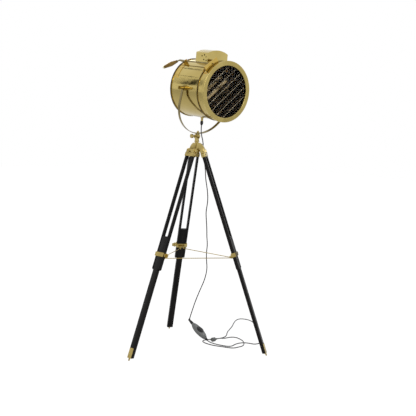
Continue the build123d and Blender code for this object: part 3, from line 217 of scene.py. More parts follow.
def lacquered_wood_group():
    """Black lacquer that lets long pores and a trace of brown show."""
    group, start, end = new_group(
        "lacquered_wood",
        [("Vector", "Vector", None), ("Lacquer", "Color", (0.01, 0.01, 0.01, 1)),
         ("Grain", "Color", (0.05, 0.03, 0.02, 1)), ("Smooth", "Float", 0.2), ("Rough", "Float", 0.4)],
        [("Colour", "Color"), ("Roughness", "Float"), ("Height", "Float")])
    long_grain = group.nodes.new("ShaderNodeVectorMath")
    long_grain.operation = "MULTIPLY"
    long_grain.inputs[1].default_value = (1.0, 1.0, 0.035)
    group.links.new(start.outputs["Vector"], long_grain.inputs[0])
    stretched = long_grain.outputs["Vector"]
    figure = spread(group, noise(group, stretched, 5.0, scale=95.0), 0.45, 0.75)
    pores = spread(group, noise(group, stretched, 6.0, scale=520.0), 0.38, 0.6)
    wear = spread(group, noise(group, start.outputs["Vector"], 4.0, scale=14.0), 0.4, 0.7)
    colour = mixed(group, figure, start.outputs["Lacquer"], start.outputs["Grain"])
    gloss = mixed(group, wear, start.outputs["Smooth"], start.outputs["Rough"], "FLOAT")
    group.links.new(colour, end.inputs["Colour"])
    group.links.new(gloss, end.inputs["Roughness"])
    group.links.new(pores, end.inputs["Height"])
    return group


LEG_AZIMUTHS = {1: 35.7, 2: 155.7, 3: 275.7}
LEG_SPREAD = 19.9
WOOD_VALUES = {
    "Lacquer": (0.0035, 0.0032, 0.0032, 1), "Grain": (0.009, 0.007, 0.006, 1),
    "Smooth": 0.28, "Rough": 0.42}
lacquered_wood = lacquered_wood_group()
for leg, azimuth in LEG_AZIMUTHS.items():
    around = Matrix.Rotation(math.radians(azimuth), 3, "Z")
    along_leg = around @ Matrix.Rotation(math.radians(-LEG_SPREAD), 3, "X")
    black_wood = finish_material(
        f"black_wood_{leg}", lacquered_wood, WOOD_VALUES, (0.12, 0.0003),
        turn=along_leg.transposed().to_euler(), sockets={"Specular IOR Level": 0.13})
    eased(f"leg_{leg}_rails", 0.0014, black_wood)
    eased(f"leg_{leg}_lower", 0.0012, black_wood)
    eased(f"leg_{leg}_cap", 0.0005, satin_gold)
    eased(f"leg_{leg}_shoe", 0.0004, satin_gold)
    for part in ("collar", "collar_screw", "stretcher"):
        dress(f"leg_{leg}_{part}", satin_gold)


# Swivel post, knuckle and yoke.
# Turned brass parts that turn and tilt the head on the hub, and a flat brass strap
# bent to a U that carries the drum between its two eyes.

for node in ("swivel_post", "swivel_nut", "knuckle_bolt", "knuckle_knob", "knuckle_eye", "yoke_nut"):
    dress(node, satin_gold)
strap_gold = lacquered(
    "strap_gold", (0.28, 0.23, 0.11), (0.2, 0.155, 0.07), (0.2, 0.3), 9.0, (0.05, 0.0004))
dress("yoke_strap", strap_gold)


# Drum, vent hood, rear cover and front rings of the head.
# Spun and pressed sheet in a smoother, brighter gold than the castings, with painted
# shade in dark brown inside and in darker gold at the bead and rim, with a broad ring in front.

HEAD_PIVOT = Vector((0.092985, -0.098061, 1.532812))
HEAD_ANGLE = 94.4
HEAD_TURN = Matrix.Rotation(math.radians(HEAD_ANGLE), 3, "X")
spun_gold = lacquered(
    "spun_gold", (0.54, 0.43, 0.155), (0.46, 0.355, 0.115), (0.08, 0.15), 4.0, (0.03, 0.0003))
# Dark brown painted shade for the inside faces of the drum and collar.
painted_inside_shade = lacquered(
    "painted_inside_shade", (0.06, 0.037, 0.018), (0.035, 0.021, 0.01), (0.35, 0.5), 9.0, (0.05, 0.0003),
    metallic=0.0, sockets={"Specular IOR Level": 0.3})
# Darker gold painted shade for the collar's bead and the rear cover's rim.
shaded_brass = lacquered(
    "shaded_brass", (0.085, 0.06, 0.024), (0.05, 0.034, 0.013), (0.2, 0.3), 9.0, (0.05, 0.0003))
INSIDE_RADIUS = 0.163
RIM_RADIUS = 0.1664
BEAD_RADIUS = 0.1672
NO_LIMIT = 1.0


def dress_ring(node, material, low, high):
    """The faces of a drum node between two radii get a material of their own."""
    mesh = nodes[node].data
    mesh.materials.append(material)
    index = len(mesh.materials) - 1
    axis = HEAD_TURN @ Vector((0, 0, 1))
    for polygon in mesh.polygons:
        arm = polygon.center - HEAD_PIVOT
        if low < (arm - axis * arm.dot(axis)).length < high:
            polygon.material_index = index


for node in ("drum_shell", "rear_cover", "vent_hood", "front_collar"):
    dress(node, spun_gold)
dress_ring("drum_shell", painted_inside_shade, 0.0, INSIDE_RADIUS)
dress_ring("front_collar", painted_inside_shade, 0.0, INSIDE_RADIUS)
dress_ring("front_collar", shaded_brass, BEAD_RADIUS, NO_LIMIT)
dress_ring("rear_cover", shaded_brass, RIM_RADIUS, NO_LIMIT)
ring_gold = lacquered(
    "ring_gold", (0.54, 0.43, 0.155), (0.43, 0.335, 0.11), (0.2, 0.3), 6.0, (0.06, 0.0004))
dress("front_bezel", ring_gold)


# Shutter gear outside the drum.
# A bent brass lever with a turned grip pulls a thin rod that runs along the drum
# through a rear bracket and a front plate.

polished_brass = lacquered(
    "polished_brass", (0.66, 0.5, 0.16), (0.52, 0.36, 0.09), (0.08, 0.16), 9.0, (0.04, 0.0003))
for node in ("rod_lug", "lever_bracket"):
    dress(node, polished_brass)
dress("shutter_rod", strap_gold)
dress("shutter_lever", strap_gold)


# Trunnions with their wing knobs, and the cord gland.
# Cast brass bosses on the sides of the drum, clamped by wing knobs, and a brass
# gland below with a soft black sleeve for the cord.

for node in ("trunnions", "trunnion_knob_left", "trunnion_knob_right", "cable_gland"):
    dress(node, satin_gold)


def moulded_group():
    """Fine pebbled skin and slight tone changes of moulded plastic or rubber."""
    group, start, end = new_group(
        "moulded_skin",
        [("Vector", "Vector", None), ("Base", "Color", (0.1, 0.1, 0.1, 1)),
         ("Rubbed", "Color", (0.2, 0.2, 0.2, 1)), ("Smooth", "Float", 0.4), ("Rough", "Float", 0.6),
         ("Pebble", "Float", 900.0)],
        [("Colour", "Color"), ("Roughness", "Float"), ("Height", "Float")])
    place = start.outputs["Vector"]
    rubbed = spread(group, noise(group, place, 4.0, scale=30.0), 0.45, 0.75)
    pebbles = noise(group, place, 2.0, start.outputs["Pebble"])
    colour = mixed(group, rubbed, start.outputs["Base"], start.outputs["Rubbed"])
    gloss = mixed(group, rubbed, start.outputs["Rough"], start.outputs["Smooth"], "FLOAT")
    group.links.new(colour, end.inputs["Colour"])
    group.links.new(gloss, end.inputs["Roughness"])
    group.links.new(pebbles, end.inputs["Height"])
    return group


moulded_skin = moulded_group()


def moulded(name, base, rubbed, gloss, bump, pebble=900.0, sockets=None):
    """A moulded plastic or rubber from its two tones and its lowest and highest roughness."""
    values = {
        "Base": (*base, 1), "Rubbed": (*rubbed, 1), "Smooth": gloss[0], "Rough": gloss[1], "Pebble": pebble}
    return finish_material(name, moulded_skin, values, bump, sockets=sockets)


black_plastic = moulded(
    "black_plastic", (0.009, 0.009, 0.01), (0.018, 0.018, 0.019), (0.36, 0.5), (0.2, 0.0002),
    sockets={"Specular IOR Level": 0.3})
dress("strain_relief", black_plastic)


# Inside the head: shutter slats, reflector, lamp socket, bulb and front glass.
# Six dark slats on pins close like a blind in front of a spun reflector of warm-toned metal,
# both darkened as painted shade. The bulb is clear glass with a fine wire; the front glass is flat.

# The slats' dark brown is partly their own paint and partly painted shade.
dark_slat_shade = lacquered(
    "dark_slat_shade", (0.05, 0.031, 0.017), (0.03, 0.018, 0.009), (0.35, 0.5), 12.0, (0.06, 0.0003),
    metallic=0.0, sockets={"Specular IOR Level": 0.25})
rubbed_brass = lacquered(
    "rubbed_brass", (0.6, 0.52, 0.36), (0.45, 0.38, 0.25), (0.25, 0.35), 14.0, (0.05, 0.0003),
    metallic=0.25)
SLAT_COUNT = 6
SLAT_CIRCLE = 0.164
SLAT_PITCH = SLAT_CIRCLE * 0.257
SLAT_GAP = 0.0006
SLAT_DROP = 0.008
SLAT_PLANE = 0.132
SLAT_REACH = 0.158
HEM_RADIUS = 0.0018
HEM_SIDES = 12
HEM_END = 0.001
HEM_TAPER = 0.7
SHUTTER_ANGLE = 40.5
SHARP_ANGLE = math.radians(35)
slat_front = SLAT_PLANE + (SLAT_PITCH - SLAT_GAP) / 2 - HEM_RADIUS
shutter_turn = HEAD_TURN @ Matrix.Rotation(math.radians(SHUTTER_ANGLE), 3, "Z")


def add_piece(name, shape, material):
    """A finished bmesh becomes an object at the origin, smooth except at its sharp edges."""
    for face in shape.faces:
        face.smooth = True
    for edge in shape.edges:
        if len(edge.link_faces) == 2 and edge.calc_face_angle() > SHARP_ANGLE:
            edge.smooth = False
    mesh = bpy.data.meshes.new(name)
    shape.to_mesh(mesh)
    shape.free()
    mesh.materials.append(material)
    piece = bpy.data.objects.new(name, mesh)
    bpy.context.scene.collection.objects.link(piece)
    return piece


def placed(shape, turn, place):
    """A bmesh turned and moved from its own axes to its place on the lamp."""
    bmesh.ops.transform(shape, matrix=Matrix.Translation(place) @ turn.to_4x4(), verts=shape.verts)
    return shape


def spun_shape(profile, steps=48):
    """A closed bmesh spun about Z from the (radius, height) points of its profile."""
    shape = bmesh.new()
    corners = [shape.verts.new((radius, 0, height)) for radius, height in profile]
    lines = [shape.edges.new(pair) for pair in zip(corners, corners[1:])]
    bmesh.ops.spin(shape, geom=corners + lines, cent=(0, 0, 0), axis=(0, 0, 1), angle=math.tau, steps=steps,
                   use_merge=True)
    bmesh.ops.remove_doubles(shape, verts=shape.verts, dist=0.000005)
    bmesh.ops.recalc_face_normals(shape, faces=shape.faces)
    return shape


for number in range(1, SLAT_COUNT + 1):
    dress(f"shutter_slat_{number}", dark_slat_shade)
    height = (number - 1 - (SLAT_COUNT - 1) / 2) * SLAT_PITCH - SLAT_DROP
    half = math.sqrt(SLAT_REACH ** 2 - (height + (SLAT_PITCH - SLAT_GAP) / 2) ** 2) - HEM_END
    hem = spun_shape((
        (0, -half), (HEM_RADIUS * HEM_TAPER, -half), (HEM_RADIUS, -half + HEM_END),
        (HEM_RADIUS, half - HEM_END), (HEM_RADIUS * HEM_TAPER, half), (0, half)), steps=HEM_SIDES)
    across_slat = shutter_turn @ Matrix.Rotation(math.radians(90), 3, "Y")
    middle = HEAD_PIVOT + shutter_turn @ Vector((0, height, slat_front))
    hem_piece = add_piece(f"slat_{number}_rolled_edge", placed(hem, across_slat, middle), rubbed_brass)
    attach(hem_piece, f"shutter_slat_{number}")
# The reflector's dark warm colour is painted shade from inside the closed head.
reflector_shade = lacquered(
    "reflector_shade", (0.34, 0.25, 0.13), (0.2, 0.14, 0.07), (0.07, 0.14), 8.0, (0.04, 0.0003))
dress("reflector", reflector_shade)
glazed_ceramic = moulded(
    "glazed_ceramic", (0.74, 0.72, 0.66), (0.66, 0.63, 0.56), (0.25, 0.4), (0.05, 0.0002))
dress("lamp_socket", glazed_ceramic)


SMEAR_GLOSS = 0.03


def glass_material(name, tint, roughness, ior):
    """Clear glass with faint smears in its gloss."""
    material = bpy.data.materials.new(name)
    material.use_nodes = True
    tree = material.node_tree
    shader = tree.nodes["Principled BSDF"]
    place = tree.nodes.new("ShaderNodeTexCoord")
    smears = spread(tree, noise(tree, place.outputs["Object"], 4.0, scale=11.0), 0.4, 0.8)
    gloss = tree.nodes.new("ShaderNodeMapRange")
    gloss.inputs["To Min"].default_value = roughness
    gloss.inputs["To Max"].default_value = roughness + SMEAR_GLOSS
    tree.links.new(smears, gloss.inputs["Value"])
    tree.links.new(gloss.outputs["Result"], shader.inputs["Roughness"])
    shader.inputs["Base Color"].default_value = tint
    shader.inputs["Transmission Weight"].default_value = 1.0
    shader.inputs["IOR"].default_value = ior
    return material


coated_glass = glass_material("coated_glass", (0.97, 0.98, 0.97, 1), 0.0, 1.13)
dress("front_glass", coated_glass)
bulb_glass = glass_material("bulb_glass", (0.98, 0.97, 0.94, 1), 0.02, 1.45)
BULB_RADIUS = 0.03
BULB_CENTRE = 0.008
BULB_NECK = 0.013
BULB_WALL = 0.0008
BULB_FOOT = -0.045
BULB_STEPS = 16
NECK_BLEND = 0.12
NECK_DROP = 0.004
arc_start = math.asin(BULB_NECK / BULB_RADIUS) + NECK_BLEND
bulb_profile = [(BULB_NECK, BULB_FOOT), (BULB_NECK, BULB_CENTRE - BULB_RADIUS - NECK_DROP)]
for step in range(BULB_STEPS + 1):
    angle = arc_start + (math.pi - arc_start) * step / BULB_STEPS
    bulb_profile.append((BULB_RADIUS * math.sin(angle), BULB_CENTRE - BULB_RADIUS * math.cos(angle)))
bulb_shape = spun_shape(bulb_profile)
envelope = add_piece("bulb_envelope", placed(bulb_shape, HEAD_TURN, HEAD_PIVOT), bulb_glass)
wall = envelope.modifiers.new("glass_wall", "SOLIDIFY")
wall.thickness = BULB_WALL
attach(envelope, "lamp_head")
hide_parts("bulb")
STEM_PROFILE = (
    (0, -0.0445), (0.0035, -0.0445), (0.0042, -0.03), (0.0022, -0.012), (0.0022, -0.002), (0, 0))
wire_shape = spun_shape(STEM_PROFILE, steps=20)
stem = add_piece("bulb_stem", placed(wire_shape, HEAD_TURN, HEAD_PIVOT), bulb_glass)
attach(stem, "lamp_head")
filament = bpy.data.curves.new("filament_line", "CURVE")
filament.dimensions = "3D"
filament_line = filament.splines.new("POLY")
FILAMENT_TURNS = 22
FILAMENT_STEPS = FILAMENT_TURNS * 8
FILAMENT_REACH = 0.013
FILAMENT_COIL = 0.0011
FILAMENT_TOP = 0.012
FILAMENT_SAG = 0.6
WIRE_RADIUS = 0.00025
filament_line.points.add(FILAMENT_STEPS)
for index, point in enumerate(filament_line.points):
    share = index / FILAMENT_STEPS
    swing = math.tau * FILAMENT_TURNS * share
    bow = (share - 0.5) * math.pi
    local = Vector((
        FILAMENT_REACH * math.sin(bow) + FILAMENT_COIL * math.cos(swing) * math.cos(bow),
        FILAMENT_COIL * math.sin(swing),
        FILAMENT_TOP - FILAMENT_REACH * (1 - math.cos(bow)) * FILAMENT_SAG))
    point.co = (*(HEAD_PIVOT + HEAD_TURN @ local), 1)
filament.bevel_depth = WIRE_RADIUS
filament.bevel_resolution = 2
former = bpy.data.objects.new("filament_former", filament)
bpy.context.scene.collection.objects.link(former)
bpy.context.view_layer.update()
filament_mesh = bpy.data.meshes.new_from_object(former)
bpy.data.objects.remove(former)
filament_mesh.name = "bulb_filament"
filament_mesh.materials.clear()
filament_mesh.materials.append(rubbed_brass)
filament_piece = bpy.data.objects.new("bulb_filament", filament_mesh)
bpy.context.scene.collection.objects.link(filament_piece)
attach(filament_piece, "lamp_head")


# The cord, from the gland to the foot switch and on to the plug.
# A round black rubber cord of 6 mm. It drops past the knuckle, falls beside the
# legs to the foot switch, and lies in loose loops on the floor.

CORD_DIAMETER = 0.006
CORD_JOINT = (47, -5, 1198.5)
CORD_ROUNDING = 4
DROP_ROUTE = (
    (0.0, -35.95, 1327.27), (0.0, -33.42, 1294.36), (5, -37, 1260), (22, -27, 1238), (41, -10, 1216),
    CORD_JOINT)
FALL_ROUTE = (
    CORD_JOINT, (53, 0, 1181), (59, 1, 1149), (66, 0, 1106), (82, 8, 1062), (96, 18, 1006), (112, 19, 950),
    (126, 26, 900), (131, 32, 860), (133, 46, 805), (146, 53, 750), (156, 57, 698), (165, 64, 646),
    (175, 67, 600), (178, 77, 553), (186, 83, 505), (198, 86, 444), (194, 102, 375), (181, 126, 309),
    (169, 148, 243), (158, 164, 178), (144, 170, 124.7))
LOOP_ROUTE = (
    (180, 34, 12), (181.72, 27.8, 7.24), (184, 6, 4), (186, -18, 3), (190, -46, 3), (200, -78, 3),
    (212, -110, 3), (238, -124, 3), (275, -106, 3), (316, -92, 3), (358, -98, 3), (380, -126, 3),
    (388, -162, 3), (424, -166, 3), (472, -140, 3), (524, -94, 3), (574, -30, 3), (624, 40, 3),
    (670, 108, 3), (722, 172, 3), (768, 235, 3), (806, 300, 3), (812, 366, 3), (775, 396, 3),
    (722, 370, 3), (656, 318, 3), (590, 258, 3), (515, 202, 3), (446, 150, 3), (390, 92, 3),
    (346, 64, 3), (302, 58, 3), (262, 64, 3), (228, 74, 3), (194, 78, 3), (164, 64, 3), (150, 32, 3),
    (148, -4, 3), (152, -40, 3), (163, -70, 3), (182, -102, 3), (198, -140, 3), (220, -164, 3),
    (256, -160, 3), (296, -158, 3), (330, -136, 7), (358, -98, 11), (382, -56, 7), (402, -16, 3),
    (408, 24, 3), (386, 46, 3), (346, 44, 3), (312, 36, 6), (277.95, 32.38, 13), (258, 31, 13))
rubber_jacket = moulded(
    "rubber_jacket", (0.022, 0.022, 0.023), (0.04, 0.04, 0.041), (0.42, 0.58), (0.15, 0.0002), pebble=700.0)


def on_lamp(point):
    """A point in millimetres from the lamp's turning axis, in metres of the shared frame."""
    return lamp_axis + Vector(point) / 1000


def cord_curve(name, route):
    """A smooth curve along a route, with no thickness yet."""
    curve = bpy.data.curves.new(name, "CURVE")
    curve.dimensions = "3D"
    spline = curve.splines.new("NURBS")
    spline.points.add(len(route) - 1)
    for point, place in zip(spline.points, route):
        point.co = (*on_lamp(place), 1.0)
    spline.order_u = 3
    spline.use_endpoint_u = True
    spline.resolution_u = 12
    piece = bpy.data.objects.new(name, curve)
    bpy.context.scene.collection.objects.link(piece)
    return piece


def cord_piece(name, route, body, node):
    """A stretch of cord that rides on one body."""
    piece = cord_curve(name, route)
    piece.data.bevel_depth = CORD_DIAMETER / 2
    piece.data.bevel_resolution = CORD_ROUNDING
    piece.data.use_fill_caps = True
    piece.data.materials.append(rubber_jacket)
    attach(piece, body)
    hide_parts(node)
    return piece


def centre_points(route):
    """Points along the smooth line of a route."""
    line = cord_curve("line_of_cord", route)
    bpy.context.view_layer.update()
    mesh = bpy.data.meshes.new_from_object(line)
    points = [vertex.co.copy() for vertex in mesh.vertices]
    bpy.data.objects.remove(line)
    bpy.data.meshes.remove(mesh)
    return points


def run_length(points):
    """The length of a line of points."""
    return sum((b - a).length for a, b in zip(points, points[1:]))


def cord_tube(name, points):
    """A mesh tube along points, closed at both ends."""
    curve = bpy.data.curves.new(name, "CURVE")
    curve.dimensions = "3D"
    spline = curve.splines.new("POLY")
    spline.points.add(len(points) - 1)
    for point, place in zip(spline.points, points):
        point.co = (*place, 1.0)
    curve.bevel_depth = CORD_DIAMETER / 2
    curve.bevel_resolution = CORD_ROUNDING
    curve.use_fill_caps = True
    former = bpy.data.objects.new(name + "_former", curve)
    bpy.context.scene.collection.objects.link(former)
    bpy.context.view_layer.update()
    mesh = bpy.data.meshes.new_from_object(former)
    bpy.data.objects.remove(former)
    shape = bmesh.new()
    shape.from_mesh(mesh)
    bmesh.ops.remove_doubles(shape, verts=shape.verts, dist=0.00001)
    bmesh.ops.recalc_face_normals(shape, faces=shape.faces)
    for face in shape.faces:
        face.smooth = True
    shape.to_mesh(mesh)
    shape.free()
    mesh.materials.append(rubber_jacket)
    piece = bpy.data.objects.new(name, mesh)
    bpy.context.scene.collection.objects.link(piece)
    return piece


drop_points = centre_points(DROP_ROUTE)
drop_total = run_length(drop_points)
DROP_STRETCHES = (
    ("cord_drop_upper", "lamp_head", "yoke"),
    ("cord_drop_middle", "yoke", "swivel"),
    ("cord_drop_lower", "swivel", "tripod_head"))
walked = [run_length(drop_points[:count + 1]) for count in range(len(drop_points))]


def nearest_point(stretches):
    """The number of the drawn point where the first stretches of the drop end."""
    target = drop_total * stretches / len(DROP_STRETCHES)
    return min(range(len(walked)), key=lambda index: abs(walked[index] - target))


for order, (name, upper_body, lower_body) in enumerate(DROP_STRETCHES):
    stretch = drop_points[nearest_point(order):nearest_point(order + 1) + 1]
    tube = cord_tube(name, stretch)
    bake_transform(tube)
    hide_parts("cord_drop")


# Sleeve on the strain relief, under the gland.
# A short moulded black bulb, a little shiny, that is pushed over the relief and the
# cord. It turns with the head.

RELIEF_LENGTH = 0.0262
RELIEF_COVER = 0.0012
relief_way = (on_lamp(DROP_ROUTE[1]) - on_lamp(DROP_ROUTE[0])).normalized()
relief_turn = relief_way.to_track_quat("Z", "Y").to_matrix()
relief_place = on_lamp(DROP_ROUTE[0]) - relief_way * (RELIEF_LENGTH - RELIEF_COVER)
relief_shape = spun_shape((
    (0, 0.0024), (0.0062, 0.0024), (0.0078, 0.0032), (0.0086, 0.006), (0.0088, 0.012), (0.0081, 0.018),
    (0.0066, 0.0225), (0.005, 0.0255), (0.0042, RELIEF_LENGTH), (0, RELIEF_LENGTH)))
relief_sleeve = add_piece("relief_sleeve", placed(relief_shape, relief_turn, relief_place), black_plastic)
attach(relief_sleeve, "lamp_head")


# Grip of the shutter lever.
# A turned brass spindle, tinted brown by its lacquer, with ring grooves and a small
# polished ball at its end, coloured pale as a painted highlight. It is driven onto the shank of the lever.

tinted_brass = lacquered(
    "tinted_brass", (0.27, 0.17, 0.05), (0.13, 0.075, 0.02), (0.12, 0.24), 16.0, (0.05, 0.0003))
# The ball's pale colour is a painted highlight.
painted_highlight_brass = lacquered(
    "painted_highlight_brass", (0.85, 0.82, 0.6), (0.74, 0.7, 0.47), (0.12, 0.22), 16.0, (0.04, 0.0003))
SHANK_START = Vector((-0.01387, 0.03302, 1.69314))
SHANK_END = Vector((-0.04273, 0.14872, 1.64936))
GRIP_START = 0.0175
GRIP_END = 0.1125
GRIP_RADII = (0.007, 0.0125, 0.0092)
GRIP_STEPS = 40
GRIP_CROWN = 0.0011
GRIP_ROUND = 0.001
GRIP_GROOVES = (0.12, 0.16, 0.84, 0.88)
GROOVE_REACH = 0.013
GROOVE_DEPTH = 0.0006
shank_turn = (SHANK_END - SHANK_START).to_track_quat("Z", "Y").to_matrix()
grip_profile = [(0, GRIP_START), (GRIP_RADII[0] - GRIP_ROUND, GRIP_START)]
for step in range(GRIP_STEPS + 1):
    share = step / GRIP_STEPS
    first, last = (GRIP_RADII[0], GRIP_RADII[1]) if share < 0.5 else (GRIP_RADII[1], GRIP_RADII[2])
    rise = share * 2 if share < 0.5 else share * 2 - 1
    radius = first + (last - first) * rise + GRIP_CROWN * math.sin(math.pi * share)
    sink = GROOVE_DEPTH if any(abs(share - groove) < GROOVE_REACH for groove in GRIP_GROOVES) else 0.0
    along = GRIP_START + GRIP_ROUND + (GRIP_END - GRIP_START - 2 * GRIP_ROUND) * share
    grip_profile.append((radius - sink, along))
grip_profile += [(GRIP_RADII[2] - GRIP_ROUND, GRIP_END), (0, GRIP_END)]
grip_shape = placed(spun_shape(grip_profile), shank_turn, SHANK_START)
grip_sleeve = add_piece("grip_sleeve", grip_shape, tinted_brass)
BALL_RADIUS = 0.0092
BALL_INSET = 0.0085
BALL_NECK = 0.0045
BALL_STEPS = 14
BALL_OPENING = 0.55
ball_middle = (SHANK_END - SHANK_START).length - BALL_INSET
ball_profile = [(BALL_NECK, ball_middle - 0.0095), (BALL_NECK, ball_middle - 0.0078)]
for step in range(BALL_STEPS + 1):
    angle = BALL_OPENING + (math.pi - BALL_OPENING) * step / BALL_STEPS
    ball_profile.append((BALL_RADIUS * math.sin(angle), ball_middle - BALL_RADIUS * math.cos(angle)))
grip_ball = add_piece("grip_ball", placed(spun_shape(ball_profile), shank_turn, SHANK_START), painted_highlight_brass)
for piece in (grip_sleeve, grip_ball):
    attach(piece, "shutter_lever")


# Foot switch and its button.
# A grey moulded spindle in two halves, flat above and below, with a round black press
# button in a ring. Ribbed black boots hold the cord, which runs on through the body.

grey_plastic = moulded(
    "grey_plastic", (0.125, 0.13, 0.128), (0.155, 0.16, 0.157), (0.36, 0.5), (0.2, 0.0002))
SWITCH_BOOT_LENGTH = 0.008
SWITCH_NECK_LENGTH = 0.03
SWITCH_TAIL_LENGTH = 0.014
SWITCH_TIP_COVER = 0.01
SWITCH_HALF_WIDTH = 0.026
SWITCH_HALF_DEPTH = 0.013
SWITCH_SEAM = 0.0002
BODY_STEPS = 28
RIM_ANGLE = math.radians(20)
RIM_REACH = 0.00005
RIM_ROUND = 0.0012
KNEE_RADIUS = 0.0062
switch_top = on_lamp(FALL_ROUTE[-1])
SWITCH_KNEE = switch_top + (switch_top - on_lamp(FALL_ROUTE[-2])).normalized() * SWITCH_BOOT_LENGTH
SWITCH_BOTTOM = on_lamp(LOOP_ROUTE[0])
switch_length = (SWITCH_BOTTOM - SWITCH_KNEE).length
switch_way = (SWITCH_BOTTOM - SWITCH_KNEE).normalized()
switch_side = switch_way.cross(Vector((0, 0, 1))).normalized()
SWITCH_TURN = Matrix((switch_side, switch_way.cross(switch_side), switch_way)).transposed()
body_start = SWITCH_NECK_LENGTH - SWITCH_TIP_COVER
body_end = switch_length - SWITCH_TAIL_LENGTH + SWITCH_TIP_COVER
body_middle = (body_start + body_end) / 2
body_half = (body_end - body_start) / 2
arc_radius = (body_half ** 2 + SWITCH_HALF_WIDTH ** 2) / (2 * SWITCH_HALF_WIDTH)


def switch_half(name, side, material):
    """One half of the switch body: a spun spindle cut at the seam and at its flat."""
    profile = []
    for step in range(BODY_STEPS + 1):
        along = -body_half + 2 * body_half * step / BODY_STEPS
        radius = math.sqrt(arc_radius ** 2 - along ** 2) - (arc_radius - SWITCH_HALF_WIDTH)
        profile.append((max(radius, 0.0), body_middle + along))
    shape = spun_shape(profile, steps=60)
    for height, way in ((side * SWITCH_SEAM, -side), (side * SWITCH_HALF_DEPTH, side)):
        bmesh.ops.bisect_plane(shape, geom=shape.verts[:] + shape.edges[:] + shape.faces[:], dist=0.000001,
                               plane_co=(0, height, 0), plane_no=(0, way, 0), clear_outer=True)
        open_edges = [edge for edge in shape.edges if edge.is_boundary]
        bmesh.ops.holes_fill(shape, edges=open_edges, sides=0)
    bmesh.ops.recalc_face_normals(shape, faces=shape.faces)
    rim = [edge for edge in shape.edges if edge.calc_face_angle(0.0) > RIM_ANGLE
           and all(abs(v.co.y) > SWITCH_HALF_DEPTH - RIM_REACH for v in edge.verts)]
    bmesh.ops.bevel(shape, geom=rim, offset=RIM_ROUND, affect="EDGES", segments=3, profile=0.5, material=-1)
    return add_piece(name, placed(shape, SWITCH_TURN, SWITCH_KNEE), material)


for name, side in (("switch_upper_half", -1), ("switch_lower_half", 1)):
    half_piece = switch_half(name, side, grey_plastic)
    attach(half_piece, "tripod_head")
    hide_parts("foot_switch")


def ribbed_profile(start_radius, end_radius, length, ribs, depth=0.0007):
    """The profile of a tapered boot with grip ribs, from a closed start to a closed end."""
    profile = [(0, 0), (start_radius, 0)]
    for rib in range(ribs):
        for share, sink in ((0.15, 0), (0.35, depth), (0.65, depth), (0.85, 0)):
            along = (rib + share) / ribs
            profile.append((start_radius + (end_radius - start_radius) * along - sink, length * along))
    return profile + [(end_radius, length), (0, length)]


boot_turn = (switch_top - SWITCH_KNEE).to_track_quat("Z", "Y").to_matrix()
boot = spun_shape(ribbed_profile(0.006, 0.005, SWITCH_BOOT_LENGTH, 2))
knuckle = bmesh.new()
bmesh.ops.create_icosphere(knuckle, subdivisions=4, radius=KNEE_RADIUS)
neck = spun_shape(ribbed_profile(0.006, 0.0102, SWITCH_NECK_LENGTH, 5, 0.0009))
tail = spun_shape(ribbed_profile(0.0082, 0.005, SWITCH_TAIL_LENGTH, 3))
tail_place = SWITCH_BOTTOM - switch_way * SWITCH_TAIL_LENGTH
for name, shape, turn, place in (
        ("switch_upper_boot", boot, boot_turn, SWITCH_KNEE),
        ("switch_boot_root", knuckle, SWITCH_TURN, SWITCH_KNEE),
        ("switch_neck", neck, SWITCH_TURN, SWITCH_KNEE),
        ("switch_lower_boot", tail, SWITCH_TURN, tail_place)):
    piece = add_piece(name, placed(shape, turn, place), black_plastic)
    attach(piece, "tripod_head")
button_middle = SWITCH_KNEE + switch_way * body_middle
button_turn = SWITCH_TURN @ Matrix.Rotation(math.radians(90), 3, "X")
button_shape = spun_shape((
    (0, 0.0104), (0.02, 0.0104), (0.02, 0.016), (0.0192, 0.0169), (0.0165, 0.0172), (0.0158, 0.0165),
    (0.0146, 0.0165), (0.0139, 0.0171), (0.013, 0.0171), (0.013, 0.0188), (0.0121, 0.0196),
    (0.0085, 0.0197), (0.0078, 0.019), (0.0066, 0.019), (0.0059, 0.0197), (0, 0.0198)), steps=64)
button_piece = add_piece(
    "switch_press_button", placed(button_shape, button_turn, button_middle), black_plastic)
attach(button_piece, "switch_button")
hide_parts("switch_button")
ring_shape = spun_shape((
    (0.0204, 0.0118), (0.0252, 0.0118), (0.0252, 0.0136), (0.0242, 0.0146), (0.0212, 0.0146),
    (0.0204, 0.0138), (0.0204, 0.0118)), steps=64)
ring_piece = add_piece("switch_button_ring", placed(ring_shape, button_turn, button_middle), black_plastic)
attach(ring_piece, "tripod_head")
THROUGH_ROUTE = tuple(tuple((place - lamp_axis) * 1000) for place in (
    SWITCH_KNEE, SWITCH_KNEE + switch_way * SWITCH_NECK_LENGTH, SWITCH_BOTTOM))
fall = cord_piece("cord_fall_run", FALL_ROUTE + THROUGH_ROUTE, "tripod_head", "cord_fall")
run_length(centre_points(FALL_ROUTE + THROUGH_ROUTE))


# Plug.
# A round grey moulded plug with a tapered sleeve and two flat nickelled blades.

